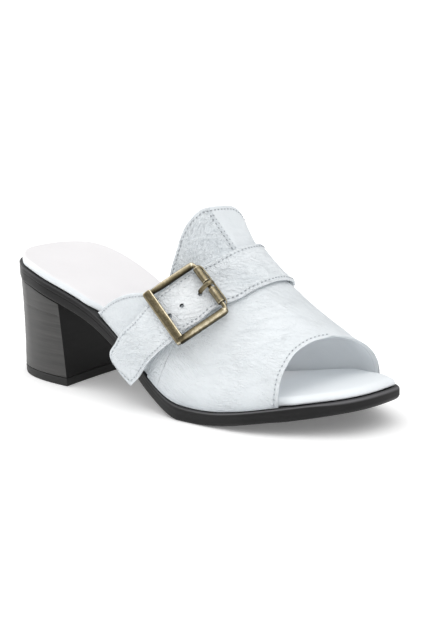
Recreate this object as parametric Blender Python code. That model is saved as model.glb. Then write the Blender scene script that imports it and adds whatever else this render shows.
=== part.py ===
"""Right-foot block-heel mule with a peep toe, a standing tongue and a buckled instep strap.

Lengths are in millimetres in the shoe's own axes while the shapes are worked out:
X runs from the back of the heel to the toe, Y is negative on the lateral (outer) side and
positive on the medial (inner) side, Z is up from the floor. put() turns them into metres.
"""

import math

import bmesh
import bpy
import numpy as np

# ---------------------------------------------------------------- driving dimensions
LENGTH = 240.0  # heel back to toe tip of the sole
GAP = 0.3  # between pieces that touch
UPPER_WALL = 1.8  # leather and lining of vamp and tongue
STRAP_WALL = 2.0  # folded and stitched strap
PANEL_WALL = 1.5  # quarter panel behind the vamp
WELT = 3.2  # thin black layer under the feather edge
INSOLE = 4.5  # padded footbed
TOP_PIECE = 4.5  # wearing layer under the heel
UPPER_INSET = 2.0  # outer face of the upper, in from the edge of the sole
STRAP_GAP = 0.5  # between the vamp and the strap that lies on it

# Outline of the sole: fraction of the length, half width to the outer and to the inner side.
OUTLINE = (
    # fraction, lateral, medial
    (0.00, 0.0, 0.0),
    (0.02, 11.6, 15.4),
    (0.05, 19.3, 22.8),
    (0.10, 27.7, 28.5),
    (0.18, 31.7, 31.2),
    (0.30, 30.6, 28.1),
    (0.40, 32.3, 24.6),
    (0.50, 37.7, 25.2),
    (0.60, 42.8, 30.8),
    (0.68, 43.1, 37.3),
    (0.75, 42.4, 40.1),
    (0.82, 38.1, 38.6),
    (0.90, 28.8, 30.8),
    (0.95, 20.9, 22.7),
    (0.98, 12.4, 17.0),
    (1.00, -11.0, 11.0),
)

# Feather line, where upper meets sole: heel seat, arch, tread and toe spring.
FEATHER = (
    # fraction, height
    (0.00, 62.3),
    (0.05, 62.9),
    (0.10, 62.3),
    (0.20, 56.0),
    (0.30, 46.8),
    (0.40, 32.6),
    (0.50, 16.4),
    (0.59, 7.9),
    (0.64, 7.2),
    (0.69, 7.8),
    (0.75, 10.0),
    (0.85, 14.4),
    (0.95, 18.3),
    (1.00, 20.2),
)

# Thickness of welt and outsole together.
PACK = (
    # fraction, thickness
    (0.00, 8.5),
    (0.30, 8.5),
    (0.58, 8.1),
    (0.69, 7.9),
    (0.80, 7.3),
    (1.00, 7.0),
)

# Heel block: D-shaped, flat towards the toe.
HEEL_BREAST_TOP = 51.5
HEEL_BREAST_FOOT = 51.3
HEEL_BACK_FOOT = 3.2
HEEL_HALF_FOOT = 27.6
HEEL_ROUNDNESS = 2.6

# Sections of the last, from behind the tongue (row 0) to the toes (row 8). Each section
# stands on the feather line at base_x, leans forward, and is one curve from the lateral
# feather edge over the ridge to the medial one. rise and crown say how long the curve
# runs up the side and how flat it is across the top.
SECTIONS = (
    # base_x, lean, height, ridge_y, lateral, medial, lat_rise, lat_crown, med_rise, med_crown
    (40.0, 62.6, 108.0, 3.0, 33.0, 35.5, 0.86, 0.74, 0.88, 0.80),
    (62.0, 56.5, 92.0, 3.0, 34.8, 34.2, 0.83, 0.72, 0.88, 0.80),
    (85.0, 46.8, 78.0, 3.0, 38.0, 33.8, 0.70, 0.50, 0.90, 0.78),
    (112.0, 30.5, 71.4, 3.0, 40.7, 31.2, 0.58, 0.28, 0.91, 0.80),
    (135.0, 20.1, 67.9, 3.0, 40.8, 31.6, 0.54, 0.26, 0.85, 0.80),
    (161.8, 14.0, 55.2, 3.0, 41.8, 36.3, 0.51, 0.33, 0.70, 0.70),
    (191.8, 7.0, 36.5, 3.0, 37.7, 37.2, 0.52, 0.47, 0.60, 0.56),
    (207.0, 3.0, 27.4, 3.0, 31.6, 33.7, 0.56, 0.52, 0.60, 0.51),
    (222.0, 1.9, 21.9, 4.0, 21.8, 26.2, 0.60, 0.53, 0.58, 0.47),
)

# How far the upper sits in from the edge of the sole on the medial side, by section.
MEDIAL_INSET = ((0.0, 3.9), (4.0, 3.9), (5.0, 2.0), (8.0, 2.0))
# The same on the lateral side: the vamp's rear corner comes out almost to the edge.
LATERAL_INSET = ((0.0, 2.0), (2.6, 2.0), (3.1, 0.8), (3.5, 0.45), (3.9, 0.9), (4.5, 2.0), (8.0, 2.0))

# Edges of the vamp and tongue: v runs 0 at the lateral feather edge, 1 at the ridge,
# 2 at the medial feather edge, and u counts the sections.
REAR_EDGE = (
    # v, u
    (0.00, 3.24),
    (0.10, 3.19),
    (0.21, 3.35),
    (0.30, 3.02),
    (0.36, 2.72),
    (0.41, 2.44),
    (0.45, 2.28),
    (0.51, 2.04),
    (0.56, 1.79),
    (0.61, 1.52),
    (0.68, 1.22),
    (0.75, 0.99),
    (0.81, 0.86),
    (0.90, 0.92),
    (1.00, 1.02),
    (1.10, 1.15),
    (1.20, 1.38),
    (1.30, 1.64),
    (1.38, 1.88),
    (1.46, 2.10),
    (1.56, 2.33),
    (1.64, 2.62),
    (1.72, 3.05),
    (1.80, 3.37),
    (1.90, 3.20),
    (2.00, 3.36),
)
FRONT_EDGE = (
    # v, u
    (0.00, 6.52),
    (0.17, 6.45),
    (0.35, 6.37),
    (0.53, 6.36),
    (0.73, 6.51),
    (0.96, 6.85),
    (1.10, 7.04),
    (1.24, 7.22),
    (1.40, 7.42),
    (1.55, 7.55),
    (1.74, 7.63),
    (2.00, 7.65),
)

# Instep strap over the last: rear and front edge at each v, and how far it stands off.
STRAP_ON_LAST = (
    # v, rear_u, front_u
    (2.00, 2.55, 3.75),
    (1.85, 2.62, 3.95),
    (1.70, 2.75, 4.15),
    (1.55, 2.88, 4.42),
    (1.40, 3.08, 4.63),
    (1.24, 3.21, 4.75),
    (1.08, 3.26, 4.76),
    (0.96, 3.25, 4.75),
    (0.85, 3.18, 4.69),
    (0.75, 3.09, 4.59),
    (0.66, 2.98, 4.48),
)

# The same strap through the buckle and down to its free end: outer face, edge to edge.
STRAP_FREE = (
    # rear x, y, z, front x, y, z, arch
    (138.7, -21.9, 72.6, 155.4, -24.7, 57.0, 0.2),
    (133.8, -29.8, 67.6, 149.6, -32.6, 51.9, 0.6),
    (127.3, -38.2, 60.8, 144.8, -39.8, 45.5, 0.5),
    (122.2, -41.3, 55.2, 140.2, -42.6, 40.6, 0.8),
    (113.5, -41.6, 46.6, 132.4, -43.0, 34.4, 1.0),
    (104.6, -41.8, 38.8, 125.0, -43.2, 27.6, 1.2),
    (100.8, -42.0, 33.3, 121.3, -43.4, 22.9, 1.2),
    (97.7, -42.2, 28.0, 117.8, -43.6, 18.4, 1.0),
    (99.3, -42.5, 24.4, 115.2, -43.6, 16.1, 0.7),
    (102.6, -42.8, 21.5, 112.6, -43.6, 13.8, 0.5),
)

# Quarter panel on the lateral side: its top edge, from the sole up to the vamp.
PANEL_TOP = (
    # x, y, z
    (80.7, -30.2, 44.4),
    (83.4, -31.2, 47.4),
    (88.3, -32.0, 51.2),
    (94.0, -32.8, 54.5),
    (101.2, -34.0, 57.6),
    (109.3, -34.9, 60.0),
    (117.2, -35.5, 61.7),
    (124.0, -33.0, 65.4),
)

# Buckle: centre of the frame, direction along the strap towards the ridge, and face normal.
BUCKLE_AT = (143.86, -33.2, 59.75)
BUCKLE_ALONG = (0.519, 0.679, 0.519)
BUCKLE_FACE = (0.411, -0.731, 0.545)
BUCKLE_HALF_ALONG = 13.7
BUCKLE_HALF_ACROSS = 14.4
BUCKLE_FLARE = (0.8, 0.6)  # the wide bar stands this much further out, along and across
BUCKLE_CORNER = 2.4
BAR_RADIUS = 1.1
SLEEVE_RADIUS = 2.05
PRONG_RADIUS = 0.85
PRONG_HALF_ACROSS = 1.15

RING = 96  # points round the sole
ROWS = 23  # rows along the upper
COLUMNS = 45  # columns across the upper


# ---------------------------------------------------------------- curves
def natural(table, column):
    """Natural cubic spline through a table's column, straight beyond its ends."""
    xs = np.array([row[0] for row in table], float)
    ys = np.array([row[column] for row in table], float)
    n = len(xs)
    h = np.diff(xs)
    a = np.eye(n)
    b = np.zeros(n)
    for i in range(1, n - 1):
        a[i, i - 1], a[i, i], a[i, i + 1] = h[i - 1], 2 * (h[i - 1] + h[i]), h[i]
        b[i] = 6 * ((ys[i + 1] - ys[i]) / h[i] - (ys[i] - ys[i - 1]) / h[i - 1])
    m = np.linalg.solve(a, b)

    def value(x):
        x = np.asarray(x, float)
        i = np.clip(np.searchsorted(xs, x) - 1, 0, n - 2)
        c = np.clip(x, xs[0], xs[-1])
        l, r = c - xs[i], xs[i + 1] - c
        y = (
            m[i] * r**3 / (6 * h[i])
            + m[i + 1] * l**3 / (6 * h[i])
            + (ys[i] / h[i] - m[i] * h[i] / 6) * r
            + (ys[i + 1] / h[i] - m[i + 1] * h[i] / 6) * l
        )
        first = (ys[1] - ys[0]) / h[0] - m[1] * h[0] / 6
        last = (ys[-1] - ys[-2]) / h[-1] + m[-2] * h[-1] / 6
        return y + np.where(x < xs[0], (x - xs[0]) * first, 0) + np.where(x > xs[-1], (x - xs[-1]) * last, 0)

    return value


def monotone(xs, ys):
    """Piecewise cubic that doesn't overshoot its points, held level beyond its ends."""
    xs, ys = np.array(xs, float), np.array(ys, float)
    h = np.diff(xs)
    d = np.diff(ys) / h
    s = np.zeros(len(xs))
    for i in range(1, len(xs) - 1):
        if d[i - 1] * d[i] > 0:
            w1, w2 = 2 * h[i] + h[i - 1], h[i] + 2 * h[i - 1]
            s[i] = (w1 + w2) / (w1 / d[i - 1] + w2 / d[i])

    def end(h0, h1, d0, d1):
        e = ((2 * h0 + h1) * d0 - h0 * d1) / (h0 + h1)
        if e * d0 <= 0:
            return 0.0
        return 3 * d0 if d0 * d1 < 0 and abs(e) > 3 * abs(d0) else e

    s[0] = end(h[0], h[1], d[0], d[1])
    s[-1] = end(h[-1], h[-2], d[-1], d[-2])

    def value(x):
        c = np.clip(np.asarray(x, float), xs[0], xs[-1])
        i = np.clip(np.searchsorted(xs, c) - 1, 0, len(xs) - 2)
        t = (c - xs[i]) / h[i]
        return (
            ys[i] * (1 + 2 * t) * (1 - t) ** 2
            + ys[i + 1] * t * t * (3 - 2 * t)
            + h[i] * t * (1 - t) * (s[i] * (1 - t) - s[i + 1] * t)
        )

    return value


def turn(x):
    """Angle that spreads stations so that heel and toe stay round."""
    return np.arccos(np.clip(1 - 2 * np.asarray(x, float) / LENGTH, -1, 1))


_fractions = [row[0] * LENGTH for row in OUTLINE]
_lateral = monotone(turn(_fractions), [row[1] for row in OUTLINE])
_medial = monotone(turn(_fractions), [row[2] for row in OUTLINE])
_feather = natural([(f * LENGTH, z) for f, z in FEATHER], 1)
_pack = monotone([f * LENGTH for f, _ in PACK], [t for _, t in PACK])


def lateral(x):
    return _lateral(turn(x))


def medial(x):
    return _medial(turn(x))


def feather(x):
    return _feather(np.asarray(x, float))


def underside(x):
    """Bottom of the outsole: never under the floor, so the tread has a flat spot."""
    return np.maximum(0.0, feather(x) - _pack(x))


# ---------------------------------------------------------------- the last
_numbered = [(float(i),) + row for i, row in enumerate(SECTIONS)]
_column = [None] + [
    natural(_numbered, k) if k <= 3 else monotone([r[0] for r in _numbered], [r[k] for r in _numbered])
    for k in range(1, 11)
]
_medial_inset = monotone([a for a, _ in MEDIAL_INSET], [b for _, b in MEDIAL_INSET])
_lateral_inset = monotone([a for a, _ in LATERAL_INSET], [b for _, b in LATERAL_INSET])


def last(u, v):
    """Outer face of the upper: u along the foot, v across it from 0 to 2."""
    u, v = np.broadcast_arrays(np.asarray(u, float), np.asarray(v, float))
    base, lean, height, ridge, lat, med, lr, lc, mr, mc = [_column[k](u) for k in range(1, 11)]
    outer = v <= 1
    t = np.where(outer, v, 2 - v)
    wide = np.where(outer, lat + ridge, med - ridge)
    rise = np.where(outer, lr, mr) * height
    crown = np.where(outer, lc, mc) * wide
    foot = np.where(outer, lateral(base) - _lateral_inset(u) + ridge, medial(base) - _medial_inset(u) - ridge)
    out = (1 - t) ** 3 * wide + 3 * (1 - t) ** 2 * t * wide + 3 * (1 - t) * t**2 * crown
    out = out - (wide - foot) * (1 - t) ** 3
    up = 3 * (1 - t) ** 2 * t * rise + 3 * (1 - t) * t**2 * height + t**3 * height
    a = np.radians(lean)
    return np.stack(
        [base + up * np.sin(a), ridge + np.where(outer, -out, out), feather(base) + up * np.cos(a)], -1
    )


def last_normal(u, v):
    e = 1e-3
    u, v = np.broadcast_arrays(np.asarray(u, float), np.asarray(v, float))
    along = last(u + e, v) - last(u - e, v)
    low, high = np.clip(v - e, 0, 2), np.clip(v + e, 0, 2)
    across = last(u, high) - last(u, low)
    n = np.cross(along, across)
    return n / np.linalg.norm(n, axis=-1, keepdims=True)


_rear = monotone([a for a, _ in REAR_EDGE], [b for _, b in REAR_EDGE])
_front = monotone([a for a, _ in FRONT_EDGE], [b for _, b in FRONT_EDGE])


# ---------------------------------------------------------------- rings and grids
def plan(inset):
    """The sole's outline seen from above, drawn in by inset(x, side), heel back first."""
    a = np.linspace(0, math.pi, RING // 2 + 1)
    x = LENGTH * (1 - np.cos(a)) / 2
    out = np.stack([x, -_lateral(a)], -1)
    back = np.stack([x, _medial(a)], -1)[1:-1][::-1]
    ring = np.concatenate([out, back])
    tangent = np.roll(ring, -1, 0) - np.roll(ring, 1, 0)
    # a longer chord round the toe keeps an inner line free of a kink at the medial corner
    toe = abs(np.arange(RING) - RING // 2) < 8
    tangent[toe] = (np.roll(ring, -4, 0) - np.roll(ring, 4, 0))[toe]
    tangent /= np.linalg.norm(tangent, axis=1, keepdims=True)
    inward = np.stack([-tangent[:, 1], tangent[:, 0]], -1)
    side = np.where(np.arange(len(ring)) <= RING // 2, -1, 1)
    return ring + inward * np.asarray(inset(ring[:, 0], side)).reshape(-1, 1)


def ring_at(inset, level):
    flat = plan(inset if callable(inset) else (lambda x, side: np.full(len(x), float(inset))))
    return np.column_stack([flat, level(flat[:, 0])])


def heel_ring(share, drop):
    """One level of the heel block, from the top piece (share 0) to the seat (share 1)."""
    half = 26
    t = np.linspace(-1, 1, 2 * half + 1)
    # foot of the heel, a D with a round back
    s = np.abs(t) * math.pi / 2
    fx = HEEL_BREAST_FOOT - (HEEL_BREAST_FOOT - HEEL_BACK_FOOT) * np.cos(s) ** (2 / HEEL_ROUNDNESS)
    fy = np.sign(t) * HEEL_HALF_FOOT * np.sin(s) ** (2 / HEEL_ROUNDNESS)
    fy = fy * (1 - 0.08 * (HEEL_BREAST_FOOT - fx) / HEEL_BREAST_FOOT)
    # seat, which follows the outline of the sole
    reach = turn(HEEL_BREAST_TOP)
    a = np.abs(t) ** 0.9 * reach
    sx = LENGTH * (1 - np.cos(a)) / 2
    sy = np.where(t < 0, -_lateral(a), _medial(a))
    middle = np.array([30.0, 0.0])
    seat = np.stack([sx, sy], -1)
    seat = seat + (middle - seat) * 0.02
    foot = np.stack([fx, fy], -1)
    waist = 0.5 * 4 * share * (1 - share)  # the back and sides draw in a little
    flat = foot + (seat - foot) * share
    flat = flat + (middle - flat) * (waist / 30.0)
    breast_x = flat[0, 0]
    edge = np.linspace(1, 0, 9)[1:-1]
    lat_corner, med_corner = flat[0], flat[-1]
    breast = np.stack(
        [
            np.full(7, 0.0) + lat_corner[0] * (1 - edge) + med_corner[0] * edge - 0.9 * np.sin(edge * math.pi),
            lat_corner[1] * (1 - edge) + med_corner[1] * edge,
        ],
        -1,
    )
    ring = np.concatenate([flat, breast])
    top = underside(ring[:, 0]) - GAP
    z = (TOP_PIECE + GAP) + (top - TOP_PIECE - GAP) * share if drop is None else np.full(len(ring), drop)
    return np.column_stack([ring, z])


def normals_of(grid):
    along = np.gradient(grid, axis=0)
    across = np.gradient(grid, axis=1)
    n = np.cross(along, across)
    return n / np.maximum(np.linalg.norm(n, axis=-1, keepdims=True), 1e-9)


# ---------------------------------------------------------------- Blender objects
for old in list(bpy.data.objects):
    bpy.data.objects.remove(old, do_unlink=True)

MATERIALS = {
    # name: colour, roughness, metallic
    "white_leather": ((0.80, 0.82, 0.83), 0.48, 0.0),
    "insole_leather": ((0.86, 0.83, 0.84), 0.55, 0.0),
    "black_sole": ((0.018, 0.018, 0.018), 0.45, 0.0),
    "stacked_heel": ((0.075, 0.070, 0.066), 0.42, 0.0),
    "heel_rubber": ((0.030, 0.030, 0.030), 0.55, 0.0),
    "aged_brass": ((0.36, 0.27, 0.13), 0.34, 1.0),
}


def material(name):
    made = bpy.data.materials.get(name)
    if made is None:
        colour, roughness, metallic = MATERIALS[name]
        made = bpy.data.materials.new(name)
        made.use_nodes = True
        shader = made.node_tree.nodes["Principled BSDF"]
        shader.inputs["Base Color"].default_value = (*colour, 1.0)
        shader.inputs["Roughness"].default_value = roughness
        shader.inputs["Metallic"].default_value = metallic
    return made


NODES = []


def put(name, points, faces, finish, smooth=40.0):
    """Makes one closed node from points in millimetres; they're moved to the origin below."""
    NODES.append((name, np.asarray(points, float), faces, finish, smooth))


def loft(name, rings, finish, mirrored=True):
    """A closed body through rings of equal count, lowest first, with its two ends filled."""
    n = len(rings[0])
    points = np.concatenate(rings)
    faces = []
    for k in range(len(rings) - 1):
        for i in range(n):
            j = (i + 1) % n
            faces.append((k * n + i, k * n + j, (k + 1) * n + j, (k + 1) * n + i))
    for base in (0, (len(rings) - 1) * n):
        if mirrored:
            # strips from the lateral edge to the medial one
            faces.append((base, base + 1, base + n - 1))
            for i in range(1, n // 2 - 1):
                faces.append((base + i, base + i + 1, base + n - i - 1, base + n - i))
            faces.append((base + n // 2 - 1, base + n // 2, base + n // 2 + 1))
        else:
            faces.append(tuple(range(base, base + n)))
    put(name, points, faces, finish)


def sheet(name, outer, inner, finish):
    """A closed body between two faces of the same grid, with a rim all round."""
    m, k = outer.shape[:2]
    points = np.concatenate([outer.reshape(-1, 3), inner.reshape(-1, 3)])
    faces = []
    for i in range(m - 1):
        for j in range(k - 1):
            a, b, c, d = i * k + j, (i + 1) * k + j, (i + 1) * k + j + 1, i * k + j + 1
            faces.append((a, b, c, d))
            faces.append(tuple(p + m * k for p in (d, c, b, a)))
    rim = (
        [(i, 0) for i in range(m)]
        + [(m - 1, j) for j in range(1, k)]
        + [(i, k - 1) for i in range(m - 2, -1, -1)]
        + [(0, j) for j in range(k - 2, 0, -1)]
    )
    for (a, b), (c, d) in zip(rim, rim[1:] + rim[:1]):
        p, q = a * k + b, c * k + d
        faces.append((q, p, p + m * k, q + m * k))
    put(name, points, faces, finish)


def sweep(name, centres, rights, ups, half_right, half_up, finish, closed, sides=8, power=2.0):
    """A closed body along a path, with a rounded section that may change along it."""
    a = np.linspace(0, 2 * math.pi, sides, endpoint=False) + math.pi / sides
    c, s = np.cos(a), np.sin(a)
    cx = np.sign(c) * np.abs(c) ** (2 / power)
    sy = np.sign(s) * np.abs(s) ** (2 / power)
    rings = [
        centre + np.outer(cx * hr, right) + np.outer(sy * hu, up)
        for centre, right, up, hr, hu in zip(centres, rights, ups, half_right, half_up)
    ]
    points = np.concatenate(rings)
    faces = []
    count = len(rings)
    for k in range(count if closed else count - 1):
        for i in range(sides):
            j = (i + 1) % sides
            n = (k + 1) % count
            faces.append((k * sides + i, k * sides + j, n * sides + j, n * sides + i))
    if not closed:
        faces.append(tuple(range(sides)))
        faces.append(tuple(range((count - 1) * sides, count * sides)))
    put(name, points, faces, finish)


# ---------------------------------------------------------------- sole
loft(
    "outsole",
    [
        ring_at(1.4, underside),
        ring_at(0.45, lambda x: underside(x) + 0.35),
        ring_at(0.1, lambda x: underside(x) + 1.2),
        ring_at(0.0, lambda x: feather(x) - WELT - GAP),
    ],
    "black_sole",
)
loft(
    "midsole",
    [
        ring_at(0.15, lambda x: feather(x) - WELT),
        ring_at(0.0, lambda x: feather(x) - WELT + 0.3),
        ring_at(0.0, lambda x: feather(x) - 0.5),
        ring_at(0.5, feather),
    ],
    "black_sole",
)


def footbed_inset(x, side):
    """The insole's edge: nearly flush at heel and toe, inside the upper between them."""
    lat = monotone([0, 6, 30, 69, 79, 203, 209, 240], [2.3, 2.1, 1.3, 1.3, 4.4, 4.4, 2.4, 2.4])(x)
    med = monotone([0, 6, 30, 82, 98, 115, 152, 165, 216, 229, 240], [2.3, 2.1, 1.3, 1.3, 4.2, 6.4, 6.4, 4.5, 4.5, 2.4, 2.4])(x)
    return np.where(np.asarray(side) < 0, lat, med)


loft(
    "insole",
    [
        ring_at(lambda x, s: footbed_inset(x, s) + 0.5, lambda x: feather(x) + GAP),
        ring_at(lambda x, s: footbed_inset(x, s), lambda x: feather(x) + GAP + 0.8),
        ring_at(lambda x, s: footbed_inset(x, s), lambda x: feather(x) + INSOLE - 1.6),
        ring_at(lambda x, s: footbed_inset(x, s) + 0.6, lambda x: feather(x) + INSOLE - 0.5),
        ring_at(lambda x, s: footbed_inset(x, s) + 1.8, lambda x: feather(x) + INSOLE),
    ],
    "insole_leather",
)

# ---------------------------------------------------------------- heel
loft(
    "heel_block",
    [heel_ring(s, None) for s in (0.0, 0.15, 0.35, 0.55, 0.75, 0.9, 1.0)],
    "stacked_heel",
    mirrored=True,
)
_foot = heel_ring(0.0, 0.0)
_shrunk = _foot.copy()
_shrunk[:, :2] += (np.array([30.0, 0.0]) - _shrunk[:, :2]) * 0.018
_upper_foot = _foot.copy()
_upper_foot[:, 2] = TOP_PIECE
_low_foot = _foot.copy()
_low_foot[:, 2] = 0.6
loft("heel_top_piece", [_shrunk, _low_foot, _upper_foot], "heel_rubber")

# ---------------------------------------------------------------- upper
_v = np.linspace(0, 2, COLUMNS)
_t = np.linspace(0, 1, ROWS)[:, None]
_u = _rear(_v) + _t * (_front(_v) - _rear(_v))
_grid_v = np.broadcast_to(_v, _u.shape)
_outer = last(_u, _grid_v)
_inner = _outer - UPPER_WALL * last_normal(_u, _grid_v)
for _g in (_outer, _inner):
    _g[..., 2] = np.maximum(_g[..., 2], feather(_g[..., 0]) + GAP)
sheet("upper", _outer, _inner, "white_leather")

# ---------------------------------------------------------------- instep strap
ACROSS = 7
_s = np.linspace(0, 1, ACROSS)
_rows = []
for _vv, _ra, _fr in STRAP_ON_LAST:
    _uu = _ra + _s * (_fr - _ra)
    _rows.append(last(_uu, _vv) + (STRAP_GAP + STRAP_WALL) * last_normal(_uu, _vv))
_free = []
for _row in STRAP_FREE:
    _a, _b = np.array(_row[:3]), np.array(_row[3:6])
    _free.append(_a + _s[:, None] * (_b - _a))
_free = np.array(_free)
_arch_normal = normals_of(_free)
for _k, _row in enumerate(STRAP_FREE):
    _free[_k] += (_row[6] * 4 * _s * (1 - _s))[:, None] * _arch_normal[_k]
_stations = np.concatenate([np.array(_rows), _free])
_step = np.linalg.norm(np.diff(_stations[:, ACROSS // 2], axis=0), axis=1)
_length = np.concatenate([[0], np.cumsum(_step)])
_at = np.linspace(0, _length[-1], 52)
_strap = np.stack(
    [
        np.stack(
            [natural(list(zip(_length, _stations[:, j, c])), 1)(_at) for c in range(3)],
            -1,
        )
        for j in range(ACROSS)
    ],
    1,
)
_strap_in = _strap - STRAP_WALL * normals_of(_strap)
for _g in (_strap, _strap_in):
    _floor = np.where(_g[..., 1] > 0, feather(_g[..., 0]) + GAP, -1e9)
    _g[..., 2] = np.maximum(_g[..., 2], _floor)
sheet("instep_strap", _strap, _strap_in, "white_leather")

# ---------------------------------------------------------------- quarter panel
PANEL_ROWS, PANEL_COLUMNS = 9, 14
_pv = np.linspace(0.0, 0.40, PANEL_ROWS)
_pu = _rear(_pv)
_edge_n = last_normal(_pu, _pv)
_edge_t = last(_pu + 0.01, _pv) - last(_pu, _pv)
_edge_t /= np.linalg.norm(_edge_t, axis=1, keepdims=True)
_edge = last(_pu, _pv) - 0.7 * _edge_t - 0.5 * _edge_n
_top_points = list(PANEL_TOP) + [tuple(_edge[-1])]
_top_run = np.concatenate(
    [[0], np.cumsum(np.linalg.norm(np.diff(np.array(_top_points), axis=0), axis=1))]
)
_a = np.linspace(0, 1, PANEL_COLUMNS)
_top = np.stack(
    [natural(list(zip(_top_run, [p[c] for p in _top_points])), 1)(_a * _top_run[-1]) for c in range(3)],
    -1,
)
_bx = 79.6 + _a * (_edge[0, 0] - 79.6)
_bottom = np.stack([_bx, -(lateral(_bx) - UPPER_INSET + 1.2 * np.sin(math.pi * _a) + 0.2 * _a), feather(_bx) + GAP + 0.05], -1)
_bottom[-1] = _edge[0]
_chord = _edge[0] + np.linspace(0, 1, PANEL_ROWS)[:, None] * (_edge[-1] - _edge[0])
_bulge = _edge - _chord
_panel = np.zeros((PANEL_COLUMNS, PANEL_ROWS, 3))
for _i in range(PANEL_COLUMNS):
    _w = np.linalg.norm(_top[_i] - _bottom[_i]) / np.linalg.norm(_edge[-1] - _edge[0])
    _t1 = np.linspace(0, 1, PANEL_ROWS)[:, None]
    _panel[_i] = _bottom[_i] + _t1 * (_top[_i] - _bottom[_i]) + _w * _a[_i] * _bulge
_panel_in = _panel - PANEL_WALL * normals_of(_panel)
for _g in (_panel, _panel_in):
    _g[..., 2] = np.maximum(_g[..., 2], feather(_g[..., 0]) + GAP)
sheet("quarter_panel", _panel, _panel_in, "white_leather")

# ---------------------------------------------------------------- buckle
_centre = np.array(BUCKLE_AT)
_along = np.array(BUCKLE_ALONG) / np.linalg.norm(BUCKLE_ALONG)
_face = np.array(BUCKLE_FACE)
_face = _face - _along * (_face @ _along)
_face /= np.linalg.norm(_face)
_over = np.cross(_face, _along)  # across the strap, towards the tongue


def frame_path():
    """Centre line of the frame, going round once, with the section at each point."""
    points, rights, widths, heights = [], [], [], []
    r = BUCKLE_CORNER
    near, far = BUCKLE_HALF_ALONG, BUCKLE_HALF_ALONG + BUCKLE_FLARE[0]
    low, high = BUCKLE_HALF_ACROSS, BUCKLE_HALF_ACROSS + BUCKLE_FLARE[1]
    corners = [(r - far, high - r), (r - far, r - high), (near - r, r - low), (near - r, low - r)]
    for k, (cx, cy) in enumerate(corners):
        start = {0: 90, 1: 180, 2: 270, 3: 0}[k]
        for d in np.linspace(0, 90, 5):
            a = math.radians(start + d)
            points.append((cx + r * math.cos(a), cy + r * math.sin(a)))
            rights.append((math.cos(a), math.sin(a)))
        # straight run to the next corner
        nx, ny = corners[(k + 1) % 4]
        a = math.radians(start + 90)
        sx, sy = points[-1]
        ex, ey = nx + r * math.cos(a), ny + r * math.sin(a)
        for f in (0.1, 0.35, 0.65, 0.9):
            points.append((sx + f * (ex - sx), sy + f * (ey - sy)))
            rights.append((math.cos(a), math.sin(a)))
    points, rights = np.array(points), np.array(rights)
    left = np.clip((-rights[:, 0] - 0.35) / 0.6, 0, 1)
    right = np.clip((rights[:, 0] - 0.35) / 0.6, 0, 1)
    widths = 1.5 + left * 0.45 - right * (1.5 - BAR_RADIUS)
    heights = 1.45 - left * 0.35 - right * (1.45 - BAR_RADIUS)
    return points, rights, widths, heights


_p, _r, _hw, _hh = frame_path()
sweep(
    "buckle_frame",
    [_centre + a * _along + b * _over for a, b in _p],
    [a * _along + b * _over for a, b in _r],
    [_face] * len(_p),
    _hw,
    _hh,
    "aged_brass",
    closed=True,
    power=2.4,
)


def sleeve(name, low, high):
    """A short tube that turns on the bar of the frame."""
    axis = _centre + BUCKLE_HALF_ALONG * _along
    inner, outer = BAR_RADIUS + GAP, SLEEVE_RADIUS
    profile = [
        (inner, low),
        (outer - 0.25, low),
        (outer, low + 0.25),
        (outer, high - 0.25),
        (outer - 0.25, high),
        (inner, high),
    ]
    sides = 16
    points, faces = [], []
    for i in range(sides):
        a = 2 * math.pi * i / sides
        out = math.cos(a) * _along + math.sin(a) * _face
        points += [axis + r * out + h * _over for r, h in profile]
    m = len(profile)
    for i in range(sides):
        n = (i + 1) % sides
        for k in range(m):
            j = (k + 1) % m
            faces.append((i * m + k, n * m + k, n * m + j, i * m + j))
    put(name, points, faces, "aged_brass")


sleeve("buckle_sleeve_upper", 2.2, 11.6)
sleeve("buckle_sleeve_lower", -10.8, -1.8)

# The prong is a wire bent round the bar, with its point down on the strap.
PRONG_AT = 0.25
_bend = BAR_RADIUS + GAP + PRONG_RADIUS
_wire = [
    (BUCKLE_HALF_ALONG + _bend * math.cos(math.radians(d)), _bend * math.sin(math.radians(d)))
    for d in (-25, 0, 25, 50, 75, 95, 112)
]
_end = _wire[-1]
_wire += [(_end[0] - 1.2, _end[1] - 0.5), (_end[0] - 3.0, _end[1] - 1.5), (_end[0] - 4.4, _end[1] - 2.5), (_end[0] - 5.2, _end[1] - 3.2)]
_wire = np.array(_wire)
_dir = np.gradient(_wire, axis=0)
_dir /= np.linalg.norm(_dir, axis=1, keepdims=True)
_size = np.full(len(_wire), PRONG_RADIUS)
_size[-2:] = (0.75, 0.55)
_across = np.full(len(_wire), PRONG_HALF_ACROSS)
_across[-2:] = (1.2, 1.0)
sweep(
    "buckle_prong",
    [_centre + a * _along + b * _face + PRONG_AT * _over for a, b in _wire],
    [_over] * len(_wire),
    [-b * _along + a * _face for a, b in _dir],
    _across,
    _size,
    "aged_brass",
    closed=False,
)

# ---------------------------------------------------------------- place everything
_all = np.concatenate([points for _, points, _, _, _ in NODES])
_low, _high = _all.min(0), _all.max(0)
SHIFT = np.array([(_low[0] + _high[0]) / 2, (_low[1] + _high[1]) / 2, 0.0])

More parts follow.
